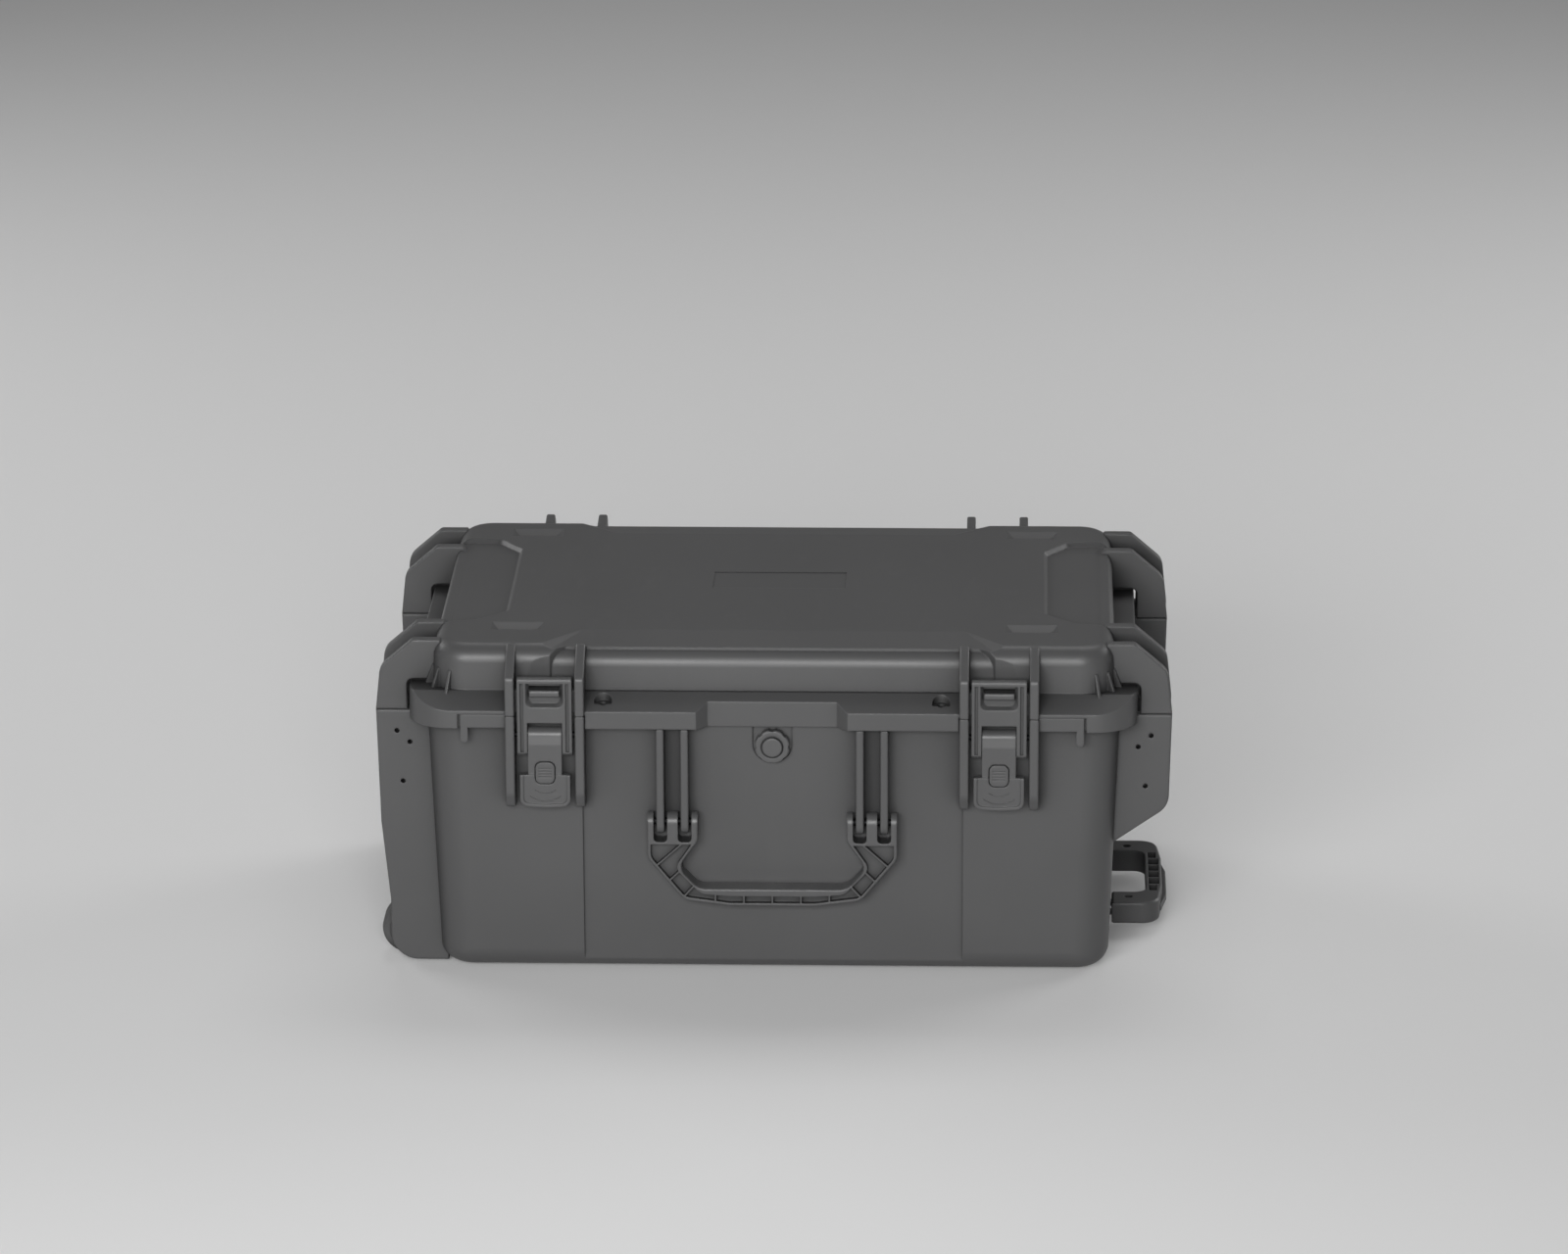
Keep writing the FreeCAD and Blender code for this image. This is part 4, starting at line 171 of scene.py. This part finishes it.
def add_floor():
    """A large pale floor that takes the shadow."""
    bpy.ops.object.select_all(action="DESELECT")
    bpy.ops.mesh.primitive_plane_add(size=FLOOR_SIZE)
    floor = bpy.context.object
    floor.name = "floor"
    finish = bpy.data.materials.new("pale_floor")
    finish.use_nodes = True
    shader = finish.node_tree.nodes["Principled BSDF"]
    shader.inputs["Base Color"].default_value = (FLOOR_TONE, FLOOR_TONE, FLOOR_TONE, 1.0)
    shader.inputs["Roughness"].default_value = FLOOR_ROUGHNESS
    shader.inputs["Specular IOR Level"].default_value = FLOOR_SHEEN
    shader.inputs["Emission Strength"].default_value = 1.0
    nodes = Nodes(finish.node_tree)
    seen = nodes.node("ShaderNodeLightPath", output="Is Camera Ray")
    glow = nodes.ramp(seen, (0.0, 0.0), (1.0, FLOOR_GLOW))
    finish.node_tree.links.new(glow.socket, shader.inputs["Emission Color"])
    floor.data.materials.append(finish)


def add_lamp(name, place, target, wide, high, power):
    """A soft box of a width and height, in watts, that points at a target."""
    lamp = bpy.data.lights.new(name, "AREA")
    lamp.shape = "RECTANGLE"
    lamp.size = wide
    lamp.size_y = high
    lamp.energy = power
    lamp.spread = BOX_SPREAD
    box = bpy.data.objects.new(name, lamp)
    box.location = place
    box.rotation_euler = (Vector(target) - Vector(place)).to_track_quat("-Z", "Y").to_euler()
    scene.collection.objects.link(box)


def add_world():
    """Bright near the horizon and dim overhead."""
    world = bpy.data.worlds.new("studio")
    scene.world = world
    world.use_nodes = True
    nodes = Nodes(world.node_tree)
    way = nodes.node("ShaderNodeTexCoord", output="Generated")
    height = nodes.node("ShaderNodeSeparateXYZ", None, {0: way}, output="Z")
    shade = nodes.ramp(height * 0.5 + 0.5, *WORLD_STOPS)
    background = world.node_tree.nodes["Background"]
    background.inputs["Strength"].default_value = WORLD_STRENGTH
    world.node_tree.links.new(shade.socket, background.inputs["Color"])


CASE_MIDDLE = (0.0, 0.0, 0.13)
SOFT_BOXES = (
    ("front_box", (-0.4, -3.0, 1.15), 1.9, 1.0, 53.0),
    ("back_box", (0.3, 1.7, 3.0), 2.4, 1.2, 14.0),
    ("left_box", (-2.4, 1.7, 1.2), 1.4, 1.2, 14.0),
    ("right_box", (2.4, 1.7, 1.2), 1.4, 1.2, 14.0),
)
add_floor()
add_world()
for name, place, wide, high, power in SOFT_BOXES:
    add_lamp(name, place, CASE_MIDDLE, wide, high, power)
print("stage: floor, world and", len(SOFT_BOXES), "soft boxes")

# %% [markdown]
# A finish is a node tree that ends in one principled shader. Three things on every moulded piece
# come from its own shape. The Bevel node rounds the shading of sharp edges, as a mould does. Where
# that rounded normal leaves the plain one, the surface is an edge, and edges are painted paler,
# partly as rubbing wear and partly as a painted highlight. Ambient Occlusion, cast on the piece
# alone, finds the hollows, which get painted shade in their colour and are made duller.

# %% The finish class
EDGE_SAMPLES = 4
EDGE_STOPS = ((0.01, 0.0), (0.14, 1.0))
HOLLOW_SAMPLES = 5


class Finish(Nodes):
    """A material in the making."""

    def __init__(self, name, roughness, metallic=0.0, specular=0.5):
        self.material = bpy.data.materials.new(name)
        self.material.use_nodes = True
        super().__init__(self.material.node_tree)
        self.shader = self.tree.nodes["Principled BSDF"]
        self.shader.inputs["Roughness"].default_value = roughness
        self.shader.inputs["Metallic"].default_value = metallic
        self.shader.inputs["Specular IOR Level"].default_value = specular
        self.place = self.node("ShaderNodeTexCoord", output="Object")

    def feed(self, name, value):
        """Links a value to an input of the shader."""
        self.tree.links.new(value.socket, self.shader.inputs[name])

    def noise(self, scale, detail=2.0, stretch=(1.0, 1.0, 1.0)):
        """Soft noise, with its grain in lumps per metre."""
        spot = self.node("ShaderNodeMapping", None, {"Vector": self.place, "Scale": stretch})
        return self.node("ShaderNodeTexNoise", None, {"Vector": spot, "Scale": scale, "Detail": detail})

    def cells(self, scale):
        """Distance to the nearest of many scattered points, for a pebbled grain."""
        return self.node("ShaderNodeTexVoronoi", None, {"Vector": self.place, "Scale": scale})

    def blend(self, share, first, second):
        """A colour between two colours, each a tone or the output of a node."""
        ends = [end if isinstance(end, Value) else tuple(end) + (1.0,) for end in (first, second)]
        sockets = {0: share, 6: ends[0], 7: ends[1]}
        return self.node("ShaderNodeMix", {"data_type": "RGBA"}, sockets, output=2)

    def soft_edges(self, radius):
        """The normal with its sharp edges rounded."""
        return self.node("ShaderNodeBevel", {"samples": EDGE_SAMPLES}, {"Radius": radius})

    def edge_share(self, softened):
        """One along sharp edges and nothing on flat or gently curved faces."""
        plain = self.node("ShaderNodeNewGeometry", output="Normal")
        dot = {"operation": "DOT_PRODUCT"}
        same = self.node("ShaderNodeVectorMath", dot, {0: softened, 1: plain}, output="Value")
        return self.ramp(1.0 - same, *EDGE_STOPS)

    def openness(self, reach):
        """How open the surface is within a reach, from nothing deep in a hollow to one outside."""
        settings = {"samples": HOLLOW_SAMPLES, "only_local": True}
        return self.node("ShaderNodeAmbientOcclusion", settings, {"Distance": reach}, output="AO")

    def bump(self, height, strength, distance, over=None):
        """Tilts the normal by a height, on top of another normal where one is given."""
        lift = {"Height": height, "Strength": strength, "Distance": distance}
        if over is not None:
            lift["Normal"] = over
        self.feed("Normal", self.node("ShaderNodeBump", None, lift))


print("finishes: ready to write")

# %% [markdown]
# Nearly everything on the case is injection-moulded plastic, so one function writes them all.
# Close up, such plastic has a fine pebbled grain from the spark-eroded mould. From further away
# it is slightly cloudy, and faint rubbed streaks show where other luggage has brushed it.

# %% Moulded plastics
PEBBLES_PER_METRE = 1400.0
CLOUDS_PER_METRE = 9.0
RUBS_PER_METRE = 60.0
RUB_STRETCH = (1.0, 0.35, 0.12)
RUB_STOPS = ((0.56, 0.0), (0.78, 1.0))
PALE_SHARE = 1.18
DEEP_SHARE = 0.88
CLOUD_TINT = 0.6
RUB_TINT = 0.4
EDGE_RADIUS = 1.6 * MM
# Edges are painted paler, partly as rubbing wear and partly as a painted highlight.
EDGE_WEAR_AND_HIGHLIGHT_LIFT = 1.5
EDGE_WEAR_AND_HIGHLIGHT_SHARE = 0.6
HOLLOW_REACH = 38.0 * MM
# Painted shade: hollows found by ambient occlusion are darkened in the base colour.
HOLLOW_PAINTED_SHADE = 0.14
HOLLOW_SHADE_STOPS = ((0.3, 1.0), (0.92, 0.0))
CLOUD_ROUGHNESS = 0.1
RUB_POLISH = 0.08
HOLLOW_ROUGHNESS = 0.2
GRAIN_DEPTH = 0.2 * MM


def scaled(tone, share):
    """A tone made darker or paler."""
    return [channel * share for channel in tone]


def moulded(name, tone, roughness, grain, rub=0.3):
    """A moulded plastic of a grey tone, with a pebbled grain and rubbed streaks."""
    finish = Finish(name, roughness)
    cloud = finish.noise(CLOUDS_PER_METRE, 3.0)
    streak = finish.noise(RUBS_PER_METRE, 4.0, RUB_STRETCH)
    rubbed = finish.ramp(streak, *RUB_STOPS)
    share = cloud * CLOUD_TINT + rubbed * rub * RUB_TINT
    mottled = finish.blend(share, scaled(tone, DEEP_SHARE), scaled(tone, PALE_SHARE))
    softened = finish.soft_edges(EDGE_RADIUS)
    # Paler edges: partly rubbing wear, partly a painted highlight; the mask takes creases too.
    edge = finish.edge_share(softened) * EDGE_WEAR_AND_HIGHLIGHT_SHARE
    plain = finish.blend(edge, mottled, scaled(tone, EDGE_WEAR_AND_HIGHLIGHT_LIFT))
    # Painted shade: the colour drops to a dark tone deep in hollows, which are also made rougher.
    hollow_shade_share = finish.ramp(finish.openness(HOLLOW_REACH), *HOLLOW_SHADE_STOPS)
    finish.feed("Base Color", finish.blend(hollow_shade_share, plain, scaled(tone, HOLLOW_PAINTED_SHADE)))
    uneven = roughness - CLOUD_ROUGHNESS / 2 + cloud * CLOUD_ROUGHNESS
    finish.feed("Roughness", uneven - rubbed * rub * RUB_POLISH + hollow_shade_share * HOLLOW_ROUGHNESS)
    finish.bump(finish.cells(PEBBLES_PER_METRE), grain, GRAIN_DEPTH, softened)
    return finish.material


SHELL_TONE = (0.074, 0.074, 0.075)
LATCH_TONE = (0.078, 0.078, 0.079)
HANDLE_TONE = (0.080, 0.080, 0.081)
GRIP_TONE = (0.058, 0.058, 0.059)
VALVE_TONE = (0.080, 0.080, 0.081)
HUB_TONE = (0.050, 0.050, 0.051)
BUSH_TONE = (0.035, 0.035, 0.036)
finishes = {
    "shell": moulded("shell_plastic", SHELL_TONE, 0.42, 0.08),
    "latch": moulded("latch_plastic", LATCH_TONE, 0.38, 0.04, 0.5),
    "handle": moulded("handle_plastic", HANDLE_TONE, 0.38, 0.05, 0.5),
    "grip": moulded("grip_plastic", GRIP_TONE, 0.42, 0.06, 0.5),
    "valve": moulded("valve_plastic", VALVE_TONE, 0.42, 0.05),
    "hub": moulded("hub_plastic", HUB_TONE, 0.48, 0.06),
    "bush": moulded("bush_plastic", BUSH_TONE, 0.4, 0.04),
}
print("plastics:", ", ".join(finishes))

# %% [markdown]
# The tyres and the seal are rubber: darker, duller and without grain. Tyres pick up pale dust,
# which a noise spreads in patches. The pins are drawn steel and the tubes anodised aluminium,
# and both show fine lines along their length, so their noise is stretched.

# %% Rubber and metal
RUBBER_ROUGHNESS = 0.72
RUBBER_SHEEN = 0.3
DUST_PER_METRE = 45.0
DUST_STOPS = ((0.4, 0.0), (0.8, 1.0))
DUST_ROUGHNESS = 0.15
RUBBER_GRAIN_PER_METRE = 900.0
RUBBER_GRAIN = 0.15
RUBBER_GRAIN_DEPTH = 0.3 * MM
LINES_PER_METRE = 2500.0
LINE_PALE_SHARE = 1.1
LINE_DEEP_SHARE = 0.85
LINE_ROUGHNESS = 0.12
LINE_GRAIN = 0.05
LINE_DEPTH = 0.1 * MM


def rubber(name, tone, dust):
    """A dull rubber with patches of paler dust."""
    finish = Finish(name, RUBBER_ROUGHNESS, specular=RUBBER_SHEEN)
    patch = finish.ramp(finish.noise(DUST_PER_METRE, 5.0), *DUST_STOPS)
    dusty = [channel + dust for channel in tone]
    finish.feed("Base Color", finish.blend(patch, tone, dusty))
    finish.feed("Roughness", RUBBER_ROUGHNESS + patch * DUST_ROUGHNESS)
    finish.bump(finish.noise(RUBBER_GRAIN_PER_METRE, 3.0), RUBBER_GRAIN, RUBBER_GRAIN_DEPTH)
    return finish.material


def drawn_metal(name, tone, roughness, stretch):
    """A metal with fine lines along its length."""
    finish = Finish(name, roughness, metallic=1.0)
    lines = finish.noise(LINES_PER_METRE, 2.0, stretch)
    deep = scaled(tone, LINE_DEEP_SHARE)
    pale = scaled(tone, LINE_PALE_SHARE)
    finish.feed("Base Color", finish.blend(lines, deep, pale))
    finish.feed("Roughness", roughness - LINE_ROUGHNESS / 2 + lines * LINE_ROUGHNESS)
    finish.bump(lines, LINE_GRAIN, LINE_DEPTH)
    return finish.material


finishes["tyre"] = rubber("tyre_rubber", (0.055, 0.055, 0.055), 0.04)
finishes["seal"] = rubber("seal_rubber", (0.022, 0.022, 0.022), 0.01)
finishes["steel"] = drawn_metal("black_pin_steel", (0.02, 0.02, 0.021), 0.58, (0.02, 1.0, 1.0))
finishes["tube"] = drawn_metal("dark_tube_aluminium", (0.16, 0.16, 0.165), 0.34, (0.01, 1.0, 1.0))

for row in frame["record"]["subparts"]:
    piece = frame["nodes"][row["node"]]
    piece.data.materials.clear()
    piece.data.materials.append(finishes[row["material_slot"]])
print("finished:", len(frame["nodes"]), "pieces")

# %% [markdown]
# Below its button each latch lever carries two low curved ridges, a thumb rest. Each is part of a
# ring: a torus is sunk halfway into the lever's face and cut off at both ends with bisect, which
# also closes the cuts. Both ridges are modelled on the left lever. The right lever gets
# copies with meshes of their own, moved across. Each ridge rides on its lever.

# %% Thumb ridges on the latch levers
LATCH_X = 158.5 * MM
LEVER_FACE_Y = -174.2 * MM
RIDGE_CENTRE_Z = 151.2 * MM
RIDGE_RADII = (17.4 * MM, 11.6 * MM)
RIDGE_HALF_THICK = 0.45 * MM
RIDGE_TURN = math.radians(38.0)
RING_STEPS = 128
RING_SIDES = 10
SMOOTH_BELOW = math.radians(40.0)


def cut_away(point, normal):
    """Cuts the mesh in edit mode with a plane, drops what is in front of it and closes the cut."""
    bpy.ops.mesh.select_all(action="SELECT")
    bpy.ops.mesh.bisect(plane_co=point, plane_no=normal, use_fill=True, clear_outer=True)


def thumb_ridge(name, x, radius):
    """A low curved ridge on the lever's face, hanging under the button."""
    centre = Vector((x, LEVER_FACE_Y, RIDGE_CENTRE_Z))
    bpy.ops.object.select_all(action="DESELECT")
    bpy.ops.mesh.primitive_torus_add(
        location=centre,
        rotation=(math.pi / 2, 0.0, 0.0),
        major_radius=radius,
        minor_radius=RIDGE_HALF_THICK,
        major_segments=RING_STEPS,
        minor_segments=RING_SIDES,
    )
    ridge = bpy.context.object
    ridge.name = name
    bpy.ops.object.transform_apply(location=True, rotation=True, scale=True)
    bpy.ops.object.mode_set(mode="EDIT")
    for way in (-1.0, 1.0):
        side = Vector((way * math.cos(RIDGE_TURN), 0.0, math.sin(RIDGE_TURN)))
        cut_away(centre, side)
    bpy.ops.mesh.select_all(action="SELECT")
    bpy.ops.mesh.normals_make_consistent(inside=False)
    bpy.ops.object.mode_set(mode="OBJECT")
    bpy.ops.object.shade_smooth_by_angle(angle=SMOOTH_BELOW)
    ridge.data.materials.append(finishes["latch"])
    return ridge


def copy_across(piece, name):
    """A copy with its own mesh, moved from the left latch to the right one."""
    bpy.ops.object.select_all(action="DESELECT")
    piece.select_set(True)
    bpy.context.view_layer.objects.active = piece
    bpy.ops.object.duplicate(linked=False)
    twin = bpy.context.object
    twin.name = name
    bpy.ops.transform.translate(value=(2.0 * LATCH_X, 0.0, 0.0))
    bpy.ops.object.transform_apply(location=True, rotation=True, scale=True)
    return twin


for number, radius in enumerate(RIDGE_RADII):
    left_ridge = thumb_ridge("thumb_ridge_left_%d" % number, -LATCH_X, radius)
    right_ridge = copy_across(left_ridge, "thumb_ridge_right_%d" % number)
    for ridge, body in ((left_ridge, "latch_left"), (right_ridge, "latch_right")):
        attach(ridge, body)
print("thumb ridges:", 2 * len(RIDGE_RADII))
